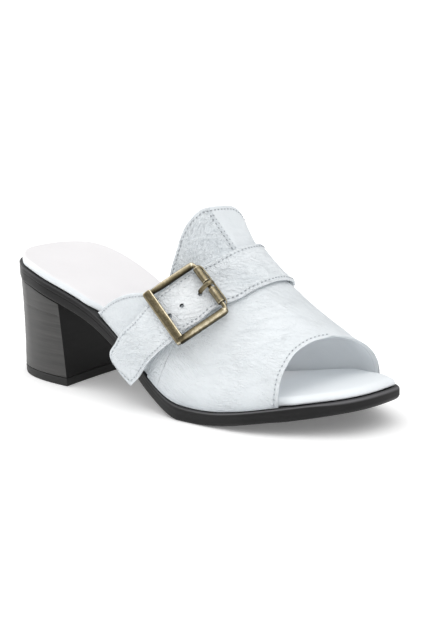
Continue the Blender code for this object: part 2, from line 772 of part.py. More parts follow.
holder = bpy.data.objects.new("mule", None)
bpy.context.scene.collection.objects.link(holder)
for _name, _points, _faces, _finish, _smooth in NODES:
    _mesh = bpy.data.meshes.new(_name)
    _mesh.from_pydata([tuple(p) for p in (_points - SHIFT) * 0.001], [], _faces)
    _mesh.validate()
    _bm = bmesh.new()
    _bm.from_mesh(_mesh)
    bmesh.ops.recalc_face_normals(_bm, faces=_bm.faces)
    bmesh.ops.triangulate(_bm, faces=_bm.faces)
    _bm.to_mesh(_mesh)
    _bm.free()
    _mesh.materials.append(material(_finish))
    _mesh.shade_smooth()
    _mesh.set_sharp_from_angle(angle=math.radians(_smooth))
    _obj = bpy.data.objects.new(_name, _mesh)
    _obj.parent = holder
    bpy.context.scene.collection.objects.link(_obj)
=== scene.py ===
"""The look of a right-foot block-heel mule with a peep toe, a standing tongue and a
buckled instep strap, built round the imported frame.

Shapes are worked out in the shoe's own millimetres: X runs from the back of the heel to
the toe, Y is negative on the lateral (outer) side, Z is up from the floor. SHIFT and a
factor of 0.001 take them to the row frame.
"""

import math

import bmesh
import bpy
import numpy as np
from mathutils import Matrix, Vector


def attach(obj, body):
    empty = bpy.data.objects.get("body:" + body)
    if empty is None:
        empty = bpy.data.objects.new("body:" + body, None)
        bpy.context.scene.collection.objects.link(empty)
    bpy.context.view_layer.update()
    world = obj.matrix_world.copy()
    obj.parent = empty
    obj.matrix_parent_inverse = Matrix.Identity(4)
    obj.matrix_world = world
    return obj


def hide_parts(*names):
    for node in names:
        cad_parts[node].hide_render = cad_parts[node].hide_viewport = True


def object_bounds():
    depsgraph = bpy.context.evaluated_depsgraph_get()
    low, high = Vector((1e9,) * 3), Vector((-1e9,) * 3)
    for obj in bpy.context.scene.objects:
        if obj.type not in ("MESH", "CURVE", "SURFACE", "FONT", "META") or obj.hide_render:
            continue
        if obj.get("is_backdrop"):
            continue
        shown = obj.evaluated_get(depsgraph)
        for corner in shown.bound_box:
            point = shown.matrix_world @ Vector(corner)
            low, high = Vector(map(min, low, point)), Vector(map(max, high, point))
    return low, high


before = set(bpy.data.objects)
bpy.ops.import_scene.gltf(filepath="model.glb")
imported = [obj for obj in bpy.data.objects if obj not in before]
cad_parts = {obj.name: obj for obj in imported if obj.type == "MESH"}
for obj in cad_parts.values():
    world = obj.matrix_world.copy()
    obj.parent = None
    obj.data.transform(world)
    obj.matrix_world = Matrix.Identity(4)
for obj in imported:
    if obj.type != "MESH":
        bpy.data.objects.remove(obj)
cad_low, cad_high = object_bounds()

# ---------------------------------------------------------------- driving dimensions
LENGTH = 240.0  # heel back to toe tip of the sole
GAP = 0.3  # between pieces that touch
UPPER_WALL = 1.8  # leather and lining of vamp and tongue
STRAP_WALL = 2.0  # folded and stitched strap
PANEL_WALL = 1.5  # quarter panel behind the vamp
WELT = 3.2  # thin black layer under the feather edge
INSOLE = 4.5  # padded footbed
TOP_PIECE = 4.5  # wearing layer under the heel
UPPER_INSET = 2.0  # outer face of the upper, in from the edge of the sole
STRAP_GAP = 0.5  # between the vamp and the strap that lies on it

# Outline of the sole: fraction of the length, half width to the outer and to the inner side.
OUTLINE = (
    # fraction, lateral, medial
    (0.00, 0.0, 0.0),
    (0.02, 11.6, 15.4),
    (0.05, 19.3, 22.8),
    (0.10, 27.7, 28.5),
    (0.18, 31.7, 31.2),
    (0.30, 30.6, 28.1),
    (0.40, 32.3, 24.6),
    (0.50, 37.7, 25.2),
    (0.60, 42.8, 30.8),
    (0.68, 43.1, 37.3),
    (0.75, 42.4, 40.1),
    (0.82, 38.1, 38.6),
    (0.90, 28.8, 30.8),
    (0.95, 20.9, 22.7),
    (0.98, 12.4, 17.0),
    (1.00, -11.0, 11.0),
)

# Feather line, where upper meets sole: heel seat, arch, tread and toe spring.
FEATHER = (
    # fraction, height
    (0.00, 62.3),
    (0.05, 62.9),
    (0.10, 62.3),
    (0.20, 56.0),
    (0.30, 46.8),
    (0.40, 32.6),
    (0.50, 16.4),
    (0.59, 7.9),
    (0.64, 7.2),
    (0.69, 7.8),
    (0.75, 10.0),
    (0.85, 14.4),
    (0.95, 18.3),
    (1.00, 20.2),
)

# Thickness of welt and outsole together.
PACK = (
    # fraction, thickness
    (0.00, 8.5),
    (0.30, 8.5),
    (0.58, 8.1),
    (0.69, 7.9),
    (0.80, 7.3),
    (1.00, 7.0),
)

# Heel block: D-shaped, flat towards the toe.
HEEL_BREAST_TOP = 51.5
HEEL_BREAST_FOOT = 51.3
HEEL_BACK_FOOT = 3.2
HEEL_HALF_FOOT = 27.6
HEEL_ROUNDNESS = 2.6

# Sections of the last, from behind the tongue (row 0) to the toes (row 8). Each section
# stands on the feather line at base_x, leans forward, and is one curve from the lateral
# feather edge over the ridge to the medial one. rise and crown say how long the curve
# runs up the side and how flat it is across the top.
SECTIONS = (
    # base_x, lean, height, ridge_y, lateral, medial, lat_rise, lat_crown, med_rise, med_crown
    (40.0, 62.6, 108.0, 3.0, 33.0, 35.5, 0.86, 0.74, 0.88, 0.80),
    (62.0, 56.5, 92.0, 3.0, 34.8, 34.2, 0.83, 0.72, 0.88, 0.80),
    (85.0, 46.8, 78.0, 3.0, 38.0, 33.8, 0.70, 0.50, 0.90, 0.78),
    (112.0, 30.5, 71.4, 3.0, 40.7, 31.2, 0.58, 0.28, 0.91, 0.80),
    (135.0, 20.1, 67.9, 3.0, 40.8, 31.6, 0.54, 0.26, 0.85, 0.80),
    (161.8, 14.0, 55.2, 3.0, 41.8, 36.3, 0.51, 0.33, 0.70, 0.70),
    (191.8, 7.0, 36.5, 3.0, 37.7, 37.2, 0.52, 0.47, 0.60, 0.56),
    (207.0, 3.0, 27.4, 3.0, 31.6, 33.7, 0.56, 0.52, 0.60, 0.51),
    (222.0, 1.9, 21.9, 4.0, 21.8, 26.2, 0.60, 0.53, 0.58, 0.47),
)

# How far the upper sits in from the edge of the sole on the medial side, by section.
MEDIAL_INSET = ((0.0, 3.9), (4.0, 3.9), (5.0, 2.0), (8.0, 2.0))
# The same on the lateral side: the vamp's rear corner comes out almost to the edge.
LATERAL_INSET = ((0.0, 2.0), (2.6, 2.0), (3.1, 0.8), (3.5, 0.45), (3.9, 0.9), (4.5, 2.0), (8.0, 2.0))

# Edges of the vamp and tongue: v runs 0 at the lateral feather edge, 1 at the ridge,
# 2 at the medial feather edge, and u counts the sections.
REAR_EDGE = (
    # v, u
    (0.00, 3.24),
    (0.10, 3.19),
    (0.21, 3.35),
    (0.30, 3.02),
    (0.36, 2.72),
    (0.41, 2.44),
    (0.45, 2.28),
    (0.51, 2.04),
    (0.56, 1.79),
    (0.61, 1.52),
    (0.68, 1.22),
    (0.75, 0.99),
    (0.81, 0.86),
    (0.90, 0.92),
    (1.00, 1.02),
    (1.10, 1.15),
    (1.20, 1.38),
    (1.30, 1.64),
    (1.38, 1.88),
    (1.46, 2.10),
    (1.56, 2.33),
    (1.64, 2.62),
    (1.72, 3.05),
    (1.80, 3.37),
    (1.90, 3.20),
    (2.00, 3.36),
)
FRONT_EDGE = (
    # v, u
    (0.00, 6.52),
    (0.17, 6.45),
    (0.35, 6.37),
    (0.53, 6.36),
    (0.73, 6.51),
    (0.96, 6.85),
    (1.10, 7.04),
    (1.24, 7.22),
    (1.40, 7.42),
    (1.55, 7.55),
    (1.74, 7.63),
    (2.00, 7.65),
)

# Instep strap over the last: rear and front edge at each v, and how far it stands off.
STRAP_ON_LAST = (
    # v, rear_u, front_u
    (2.00, 2.55, 3.75),
    (1.85, 2.62, 3.95),
    (1.70, 2.75, 4.15),
    (1.55, 2.88, 4.42),
    (1.40, 3.08, 4.63),
    (1.24, 3.21, 4.75),
    (1.08, 3.26, 4.76),
    (0.96, 3.25, 4.75),
    (0.85, 3.18, 4.69),
    (0.75, 3.09, 4.59),
    (0.66, 2.98, 4.48),
)

# The same strap through the buckle and down to its free end: outer face, edge to edge.
STRAP_FREE = (
    # rear x, y, z, front x, y, z, arch
    (138.7, -21.9, 72.6, 155.4, -24.7, 57.0, 0.2),
    (133.8, -29.8, 67.6, 149.6, -32.6, 51.9, 0.6),
    (127.3, -38.2, 60.8, 144.8, -39.8, 45.5, 0.5),
    (122.2, -41.3, 55.2, 140.2, -42.6, 40.6, 0.8),
    (113.5, -41.6, 46.6, 132.4, -43.0, 34.4, 1.0),
    (104.6, -41.8, 38.8, 125.0, -43.2, 27.6, 1.2),
    (100.8, -42.0, 33.3, 121.3, -43.4, 22.9, 1.2),
    (97.7, -42.2, 28.0, 117.8, -43.6, 18.4, 1.0),
    (99.3, -42.5, 24.4, 115.2, -43.6, 16.1, 0.7),
    (102.6, -42.8, 21.5, 112.6, -43.6, 13.8, 0.5),
)

# Quarter panel on the lateral side: its top edge, from the sole up to the vamp.
PANEL_TOP = (
    # x, y, z
    (80.7, -30.2, 44.4),
    (83.4, -31.2, 47.4),
    (88.3, -32.0, 51.2),
    (94.0, -32.8, 54.5),
    (101.2, -34.0, 57.6),
    (109.3, -34.9, 60.0),
    (117.2, -35.5, 61.7),
    (124.0, -33.0, 65.4),
)

# Buckle: centre of the frame, direction along the strap towards the ridge, and face normal.
BUCKLE_AT = (143.86, -33.2, 59.75)
BUCKLE_ALONG = (0.519, 0.679, 0.519)
BUCKLE_FACE = (0.411, -0.731, 0.545)
BUCKLE_HALF_ALONG = 13.7
BUCKLE_HALF_ACROSS = 14.4
BUCKLE_FLARE = (0.8, 0.6)  # the wide bar stands this much further out, along and across
BUCKLE_CORNER = 2.4
BAR_RADIUS = 1.1
SLEEVE_RADIUS = 2.05
PRONG_RADIUS = 0.85
PRONG_HALF_ACROSS = 1.15

RING = 480  # points round the sole


# ---------------------------------------------------------------- curves
def natural(table, column):
    """Natural cubic spline through a table's column, straight beyond its ends."""
    xs = np.array([row[0] for row in table], float)
    ys = np.array([row[column] for row in table], float)
    n = len(xs)
    h = np.diff(xs)
    a = np.eye(n)
    b = np.zeros(n)
    for i in range(1, n - 1):
        a[i, i - 1], a[i, i], a[i, i + 1] = h[i - 1], 2 * (h[i - 1] + h[i]), h[i]
        b[i] = 6 * ((ys[i + 1] - ys[i]) / h[i] - (ys[i] - ys[i - 1]) / h[i - 1])
    m = np.linalg.solve(a, b)

    def value(x):
        x = np.asarray(x, float)
        i = np.clip(np.searchsorted(xs, x) - 1, 0, n - 2)
        c = np.clip(x, xs[0], xs[-1])
        l, r = c - xs[i], xs[i + 1] - c
        y = (
            m[i] * r**3 / (6 * h[i])
            + m[i + 1] * l**3 / (6 * h[i])
            + (ys[i] / h[i] - m[i] * h[i] / 6) * r
            + (ys[i + 1] / h[i] - m[i + 1] * h[i] / 6) * l
        )
        first = (ys[1] - ys[0]) / h[0] - m[1] * h[0] / 6
        last = (ys[-1] - ys[-2]) / h[-1] + m[-2] * h[-1] / 6
        return y + np.where(x < xs[0], (x - xs[0]) * first, 0) + np.where(x > xs[-1], (x - xs[-1]) * last, 0)

    return value


def monotone(xs, ys):
    """Piecewise cubic that doesn't overshoot its points, held level beyond its ends."""
    xs, ys = np.array(xs, float), np.array(ys, float)
    h = np.diff(xs)
    d = np.diff(ys) / h
    s = np.zeros(len(xs))
    for i in range(1, len(xs) - 1):
        if d[i - 1] * d[i] > 0:
            w1, w2 = 2 * h[i] + h[i - 1], h[i] + 2 * h[i - 1]
            s[i] = (w1 + w2) / (w1 / d[i - 1] + w2 / d[i])

    def end(h0, h1, d0, d1):
        e = ((2 * h0 + h1) * d0 - h0 * d1) / (h0 + h1)
        if e * d0 <= 0:
            return 0.0
        return 3 * d0 if d0 * d1 < 0 and abs(e) > 3 * abs(d0) else e

    s[0] = end(h[0], h[1], d[0], d[1])
    s[-1] = end(h[-1], h[-2], d[-1], d[-2])

    def value(x):
        c = np.clip(np.asarray(x, float), xs[0], xs[-1])
        i = np.clip(np.searchsorted(xs, c) - 1, 0, len(xs) - 2)
        t = (c - xs[i]) / h[i]
        return (
            ys[i] * (1 + 2 * t) * (1 - t) ** 2
            + ys[i + 1] * t * t * (3 - 2 * t)
            + h[i] * t * (1 - t) * (s[i] * (1 - t) - s[i + 1] * t)
        )

    return value


def turn(x):
    """Angle that spreads stations so that heel and toe stay round."""
    return np.arccos(np.clip(1 - 2 * np.asarray(x, float) / LENGTH, -1, 1))


_fractions = [row[0] * LENGTH for row in OUTLINE]
_lateral = monotone(turn(_fractions), [row[1] for row in OUTLINE])
_medial = monotone(turn(_fractions), [row[2] for row in OUTLINE])
_feather = natural([(f * LENGTH, z) for f, z in FEATHER], 1)
_pack = monotone([f * LENGTH for f, _ in PACK], [t for _, t in PACK])


def lateral(x):
    return _lateral(turn(x))


def medial(x):
    return _medial(turn(x))


def feather(x):
    return _feather(np.asarray(x, float))


def underside(x):
    """Bottom of the outsole: never under the floor, so the tread has a flat spot."""
    return np.maximum(0.0, feather(x) - _pack(x))


# ---------------------------------------------------------------- the last
_numbered = [(float(i),) + row for i, row in enumerate(SECTIONS)]
_column = [None] + [
    natural(_numbered, k) if k <= 3 else monotone([r[0] for r in _numbered], [r[k] for r in _numbered])
    for k in range(1, 11)
]
_medial_inset = monotone([a for a, _ in MEDIAL_INSET], [b for _, b in MEDIAL_INSET])
_lateral_inset = monotone([a for a, _ in LATERAL_INSET], [b for _, b in LATERAL_INSET])


def last(u, v):
    """Outer face of the upper: u along the foot, v across it from 0 to 2."""
    u, v = np.broadcast_arrays(np.asarray(u, float), np.asarray(v, float))
    base, lean, height, ridge, lat, med, lr, lc, mr, mc = [_column[k](u) for k in range(1, 11)]
    outer = v <= 1
    t = np.where(outer, v, 2 - v)
    wide = np.where(outer, lat + ridge, med - ridge)
    rise = np.where(outer, lr, mr) * height
    crown = np.where(outer, lc, mc) * wide
    foot = np.where(outer, lateral(base) - _lateral_inset(u) + ridge, medial(base) - _medial_inset(u) - ridge)
    out = (1 - t) ** 3 * wide + 3 * (1 - t) ** 2 * t * wide + 3 * (1 - t) * t**2 * crown
    out = out - (wide - foot) * (1 - t) ** 3
    up = 3 * (1 - t) ** 2 * t * rise + 3 * (1 - t) * t**2 * height + t**3 * height
    a = np.radians(lean)
    return np.stack(
        [base + up * np.sin(a), ridge + np.where(outer, -out, out), feather(base) + up * np.cos(a)], -1
    )


def last_normal(u, v):
    e = 1e-3
    u, v = np.broadcast_arrays(np.asarray(u, float), np.asarray(v, float))
    along = last(u + e, v) - last(u - e, v)
    low, high = np.clip(v - e, 0, 2), np.clip(v + e, 0, 2)
    across = last(u, high) - last(u, low)
    n = np.cross(along, across)
    return n / np.linalg.norm(n, axis=-1, keepdims=True)


_rear = monotone([a for a, _ in REAR_EDGE], [b for _, b in REAR_EDGE])
_front = monotone([a for a, _ in FRONT_EDGE], [b for _, b in FRONT_EDGE])


# ---------------------------------------------------------------- rings and grids
def plan(inset):
    """The sole's outline seen from above, drawn in by inset(x, side), heel back first."""
    a = np.linspace(0, math.pi, RING // 2 + 1)
    x = LENGTH * (1 - np.cos(a)) / 2
    out = np.stack([x, -_lateral(a)], -1)
    back = np.stack([x, _medial(a)], -1)[1:-1][::-1]
    ring = np.concatenate([out, back])
    tangent = np.roll(ring, -1, 0) - np.roll(ring, 1, 0)
    # a longer chord round the toe keeps an inner line free of a kink at the medial corner
    toe = abs(np.arange(RING) - RING // 2) < 40
    tangent[toe] = (np.roll(ring, -20, 0) - np.roll(ring, 20, 0))[toe]
    tangent /= np.linalg.norm(tangent, axis=1, keepdims=True)
    inward = np.stack([-tangent[:, 1], tangent[:, 0]], -1)
    side = np.where(np.arange(len(ring)) <= RING // 2, -1, 1)
    return ring + inward * np.asarray(inset(ring[:, 0], side)).reshape(-1, 1)


def ring_at(inset, level):
    flat = plan(inset if callable(inset) else (lambda x, side: np.full(len(x), float(inset))))
    return np.column_stack([flat, level(flat[:, 0])])


def heel_ring(share, drop):
    """One level of the heel block, from the top piece (share 0) to the seat (share 1)."""
    half = 104
    t = np.linspace(-1, 1, 2 * half + 1)
    # foot of the heel, a D with a round back
    s = np.abs(t) * math.pi / 2
    fx = HEEL_BREAST_FOOT - (HEEL_BREAST_FOOT - HEEL_BACK_FOOT) * np.cos(s) ** (2 / HEEL_ROUNDNESS)
    fy = np.sign(t) * HEEL_HALF_FOOT * np.sin(s) ** (2 / HEEL_ROUNDNESS)
    fy = fy * (1 - 0.08 * (HEEL_BREAST_FOOT - fx) / HEEL_BREAST_FOOT)
    # seat, which follows the outline of the sole
    reach = turn(HEEL_BREAST_TOP)
    a = np.abs(t) ** 0.9 * reach
    sx = LENGTH * (1 - np.cos(a)) / 2
    sy = np.where(t < 0, -_lateral(a), _medial(a))
    middle = np.array([30.0, 0.0])
    seat = np.stack([sx, sy], -1)
    seat = seat + (middle - seat) * 0.02
    foot = np.stack([fx, fy], -1)
    waist = 0.5 * 4 * share * (1 - share)  # the back and sides draw in a little
    flat = foot + (seat - foot) * share
    flat = flat + (middle - flat) * (waist / 30.0)
    breast_x = flat[0, 0]
    edge = np.linspace(1, 0, 49)[1:-1]
    lat_corner, med_corner = flat[0], flat[-1]
    breast = np.stack(
        [
            lat_corner[0] * (1 - edge) + med_corner[0] * edge - 0.9 * np.sin(edge * math.pi),
            lat_corner[1] * (1 - edge) + med_corner[1] * edge,
        ],
        -1,
    )
    ring = np.concatenate([flat, breast])
    top = underside(ring[:, 0]) - GAP
    z = (TOP_PIECE + GAP) + (top - TOP_PIECE - GAP) * share if drop is None else np.full(len(ring), drop)
    return np.column_stack([ring, z])


def normals_of(grid):
    along = np.gradient(grid, axis=0)
    across = np.gradient(grid, axis=1)
    n = np.cross(along, across)
    return n / np.maximum(np.linalg.norm(n, axis=-1, keepdims=True), 1e-9)


# ---------------------------------------------------------------- placing and meshes
SHIFT = np.array([120.0, -2.7118, 0.0])


def to_row(points):
    return (np.asarray(points, float) - SHIFT) * 0.001


def piece(name, points, faces, finish, slot, replaces=(), smooth=40.0, marks=None, second=None):
    """A shown mesh from points in shoe millimetres. marks are float or vector point attributes."""
    mesh = bpy.data.meshes.new(name)
    mesh.from_pydata(to_row(points).tolist(), [], faces)
    mesh.validate()
    bm = bmesh.new()
    bm.from_mesh(mesh)
    bmesh.ops.recalc_face_normals(bm, faces=bm.faces)
    bm.to_mesh(mesh)
    bm.free()
    for key, values in (marks or {}).items():
        values = np.asarray(values, np.float32)
        if values.ndim == 1:
            mesh.attributes.new(key, "FLOAT", "POINT").data.foreach_set("value", values)
        else:
            mesh.attributes.new(key, "FLOAT_VECTOR", "POINT").data.foreach_set("vector", values.ravel())
    mesh.materials.append(finish)
    if second is not None:
        other, chosen = second
        mesh.materials.append(other)
        for polygon in mesh.polygons:
            if chosen(np.array(polygon.center) * 1000 + SHIFT, polygon.normal):
                polygon.material_index = 1
    mesh.shade_smooth()
    if smooth < 180:
        mesh.set_sharp_from_angle(angle=math.radians(smooth))
    made = bpy.data.objects.new(name, mesh)
    bpy.context.scene.collection.objects.link(made)
    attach(made, "root")
    if replaces:
        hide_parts(*replaces)
    return made


def shell(outer, inner, step=1):
    """Points and faces of a closed body between two grids. The inner face keeps every
    step-th row and column, and all of the rim."""
    m, n = outer.shape[:2]
    need = np.zeros((m, n), bool)
    need[::step, ::step] = True
    need[0] = need[-1] = True
    need[:, 0] = need[:, -1] = True
    index = np.full((m, n), -1)
    index[need] = m * n + np.arange(need.sum())
    points = np.concatenate([outer.reshape(-1, 3), inner[need]])
    base = (np.arange(m - 1)[:, None] * n + np.arange(n - 1)).ravel()
    faces = np.stack([base, base + n, base + n + 1, base + 1], -1).tolist()
    for i in range(0, m - 1, step):
        for j in range(0, n - 1, step):
            k, l = min(i + step, m - 1), min(j + step, n - 1)
            loop = []
            loop += [(a, j) for a in (range(i, k) if j == 0 else (i,))]
            loop += [(k, b) for b in (range(j, l) if k == m - 1 else (j,))]
            loop += [(a, l) for a in (range(k, i, -1) if l == n - 1 else (k,))]
            loop += [(i, b) for b in (range(l, j, -1) if i == 0 else (l,))]
            faces.append([int(index[q]) for q in reversed(loop)])
    rim = (
        [(i, 0) for i in range(m)]
        + [(m - 1, j) for j in range(1, n)]
        + [(i, n - 1) for i in range(m - 2, -1, -1)]
        + [(0, j) for j in range(n - 2, 0, -1)]
    )
    for (a, b), (c, d) in zip(rim, rim[1:] + rim[:1]):
        faces.append([c * n + d, a * n + b, int(index[a, b]), int(index[c, d])])
    return points, faces, need


def both(values, need):
    """A grid's values for the points of shell(): the outer face, then what the inner keeps."""
    flat = values.reshape(-1, values.shape[-1]) if values.ndim == 3 else values.ravel()
    return np.concatenate([flat, values[need]])


def tube(centres, rights, ups, half_right, half_up, closed=False, sides=24, section=None, start=0):
    """Points and faces of a swept body. section is a list of (right, up) from -1 to 1."""
    if section is None:
        a = np.linspace(0, 2 * math.pi, sides, endpoint=False)
        section = np.stack([np.cos(a), np.sin(a)], -1)
    section = np.asarray(section, float)
    sides = len(section)
    centres, rights, ups = (np.asarray(g, float) for g in (centres, rights, ups))
    half_right = np.broadcast_to(np.asarray(half_right, float), len(centres))
    half_up = np.broadcast_to(np.asarray(half_up, float), len(centres))
    points = (
        centres[:, None]
        + section[None, :, :1] * (rights * half_right[:, None])[:, None]
        + section[None, :, 1:] * (ups * half_up[:, None])[:, None]
    ).reshape(-1, 3)
    faces = []
    count = len(centres)
    for k in range(count if closed else count - 1):
        n = (k + 1) % count
        for i in range(sides):
            j = (i + 1) % sides
            faces.append([start + q for q in (k * sides + i, k * sides + j, n * sides + j, n * sides + i)])
    if not closed:
        faces.append([start + i for i in reversed(range(sides))])
        faces.append([start + i for i in range((count - 1) * sides, count * sides)])
    return points, faces


# ---------------------------------------------------------------- noise and relief
def noise2(x, y, seed=0):
    """Gradient noise, about -1 to 1."""
    x, y = np.broadcast_arrays(np.asarray(x, float), np.asarray(y, float))
    xi, yi = np.floor(x).astype(np.int64), np.floor(y).astype(np.int64)
    xf, yf = x - xi, y - yi

    def corner(dx, dy):
        h = ((xi + dx) * 374761393 + (yi + dy) * 668265263 + seed * 1274126177) & 0xFFFFFFFF
        h = ((h ^ (h >> 13)) * 1274126177) & 0xFFFFFFFF
        h = h ^ (h >> 16)
        a = h / 4294967296.0 * 2 * math.pi
        return np.cos(a) * (xf - dx) + np.sin(a) * (yf - dy)

    fx = xf**3 * (xf * (xf * 6 - 15) + 10)
    fy = yf**3 * (yf * (yf * 6 - 15) + 10)
    low = corner(0, 0) * (1 - fx) + corner(1, 0) * fx
    high = corner(0, 1) * (1 - fx) + corner(1, 1) * fx
    return (low * (1 - fy) + high * fy) * 1.5


def layered(x, y, seed=0, octaves=3):
    total, size, share = 0.0, 1.0, 1.0
    for k in range(octaves):
        total = total + noise2(x * size, y * size, seed + 17 * k) * share
        size *= 2.03
        share *= 0.5
    return total


def crepe(p, q, long, short, width, seed):
    """Fine wrinkles of soft leather: narrow valleys, long along p and close along q."""
    warp_p = layered(p / 9.0, q / 9.0, seed + 5, 2) * 2.2
    warp_q = layered(p / 7.0, q / 7.0, seed + 9, 2) * 1.6
    n = noise2((p + warp_p) / long, (q + warp_q) / short, seed)
    n = n + 0.45 * noise2((p + warp_p) / long * 2.1, (q + warp_q) / short * 1.9, seed + 3)
    return -np.exp(-((n / width) ** 2))


def soft_line(p, q, line, width):
    """1 on a polyline of (p, q) millimetre points, fading to 0 over width and at its ends."""
    line = np.asarray(line, float)
    best = np.full(p.shape, 1e9)
    along = np.zeros(p.shape)
    lengths = np.linalg.norm(np.diff(line, axis=0), axis=1)
    run = np.concatenate([[0], np.cumsum(lengths)])
    for k in range(len(line) - 1):
        a, d = line[k], line[k + 1] - line[k]
        t = np.clip(((p - a[0]) * d[0] + (q - a[1]) * d[1]) / max(d @ d, 1e-9), 0, 1)
        dist = np.hypot(p - a[0] - t * d[0], q - a[1] - t * d[1])
        near = dist < best
        best = np.where(near, dist, best)
        along = np.where(near, run[k] + t * lengths[k], along)
    ends = np.clip(np.minimum(along, run[-1] - along) / (0.25 * run[-1]), 0, 1)
    return np.exp(-((best / width) ** 2)) * (0.25 + 0.75 * ends * (2 - ends))


def arc_lengths(grid, axis):
    """Distance along the grid's lines, from their first point."""
    step = np.linalg.norm(np.diff(grid, axis=axis), axis=-1)
    zero = np.zeros_like(np.take(step, [0], axis=axis))
    return np.concatenate([zero, np.cumsum(step, axis=axis)], axis=axis)


def round_off(distance, radius):
    """How far a face falls away near its edge, for a rounded edge of that radius."""
    d = np.clip(distance, 0, radius)
    return radius - np.sqrt(np.maximum(radius**2 - (radius - d) ** 2, 0))


# ---------------------------------------------------------------- stitches
STITCHES = []


def stitch_row(name, points, normals, pitch=2.4, length=1.30, radius=0.28, sink=0.10, finish=None, slot="white_leather"):
    """A row of thread along points in shoe millimetres: each stitch dives in at both ends."""
    points, normals = np.asarray(points, float), np.asarray(normals, float)
    run = np.concatenate([[0], np.cumsum(np.linalg.norm(np.diff(points, axis=0), axis=1))])
    count = max(1, int(round(run[-1] / pitch)))
    gap = run[-1] / count
    all_points, all_faces, holes = [], [], []
    total = 0
    for k in range(count):
        middle = (k + 0.5) * gap
        s = np.linspace(-0.5, 0.5, 7)
        at = np.clip(middle + s * length, 0, run[-1])
        centre = np.stack([np.interp(at, run, points[:, c]) for c in range(3)], -1)
        normal = np.stack([np.interp(at, run, normals[:, c]) for c in range(3)], -1)
        normal /= np.linalg.norm(normal, axis=1, keepdims=True)
        tangent = np.gradient(centre, axis=0)
        tangent /= np.linalg.norm(tangent, axis=1, keepdims=True)
        side = np.cross(normal, tangent)
        side /= np.linalg.norm(side, axis=1, keepdims=True)
        lift = -sink + radius * 0.75 - (np.abs(s) * 2) ** 3 * radius * 2.2
        centre = centre + normal * lift[:, None]
        thin = radius * np.array([0.72, 0.95, 1.0, 1.0, 1.0, 0.95, 0.72])
        p, f = tube(centre, side, normal, thin, thin, sides=8, start=total)
        all_points.append(p)
        all_faces += f
        total += len(p)
        holes.append((k * gap, (k + 1) * gap))
    made = piece(name, np.concatenate(all_points), all_faces, finish or THREAD, slot, smooth=60.0)
    STITCHES.append(made)
    return made


def path_on(grid, normals, ij):
    """Points and normals of a grid at fractional row and column positions."""
    i, j = np.asarray(ij[0], float), np.asarray(ij[1], float)
    i0 = np.clip(np.floor(i).astype(int), 0, grid.shape[0] - 2)
    j0 = np.clip(np.floor(j).astype(int), 0, grid.shape[1] - 2)
    a, b = (i - i0)[:, None], (j - j0)[:, None]

    def pick(g):
        return (g[i0, j0] * (1 - a) + g[i0 + 1, j0] * a) * (1 - b) + (g[i0, j0 + 1] * (1 - a) + g[i0 + 1, j0 + 1] * a) * b

    n = pick(normals)
    return pick(grid), n / np.linalg.norm(n, axis=1, keepdims=True)


def stream(p, q, table):
    """Distances along and across a family of like curves whose slope at p is tabled."""
    at = np.linspace(p.min() - 1, p.max() + 1, 900)
    slope = np.interp(at, *zip(*table))
    step = at[1] - at[0]
    drop = np.concatenate([[0], np.cumsum(0.5 * (slope[1:] + slope[:-1]) * step)])
    gone = np.cumsum(np.sqrt(1 + slope**2)) * step
    return np.interp(p, at, gone), (q - np.interp(p, at, drop)) / np.sqrt(1 + np.interp(p, at, slope) ** 2)


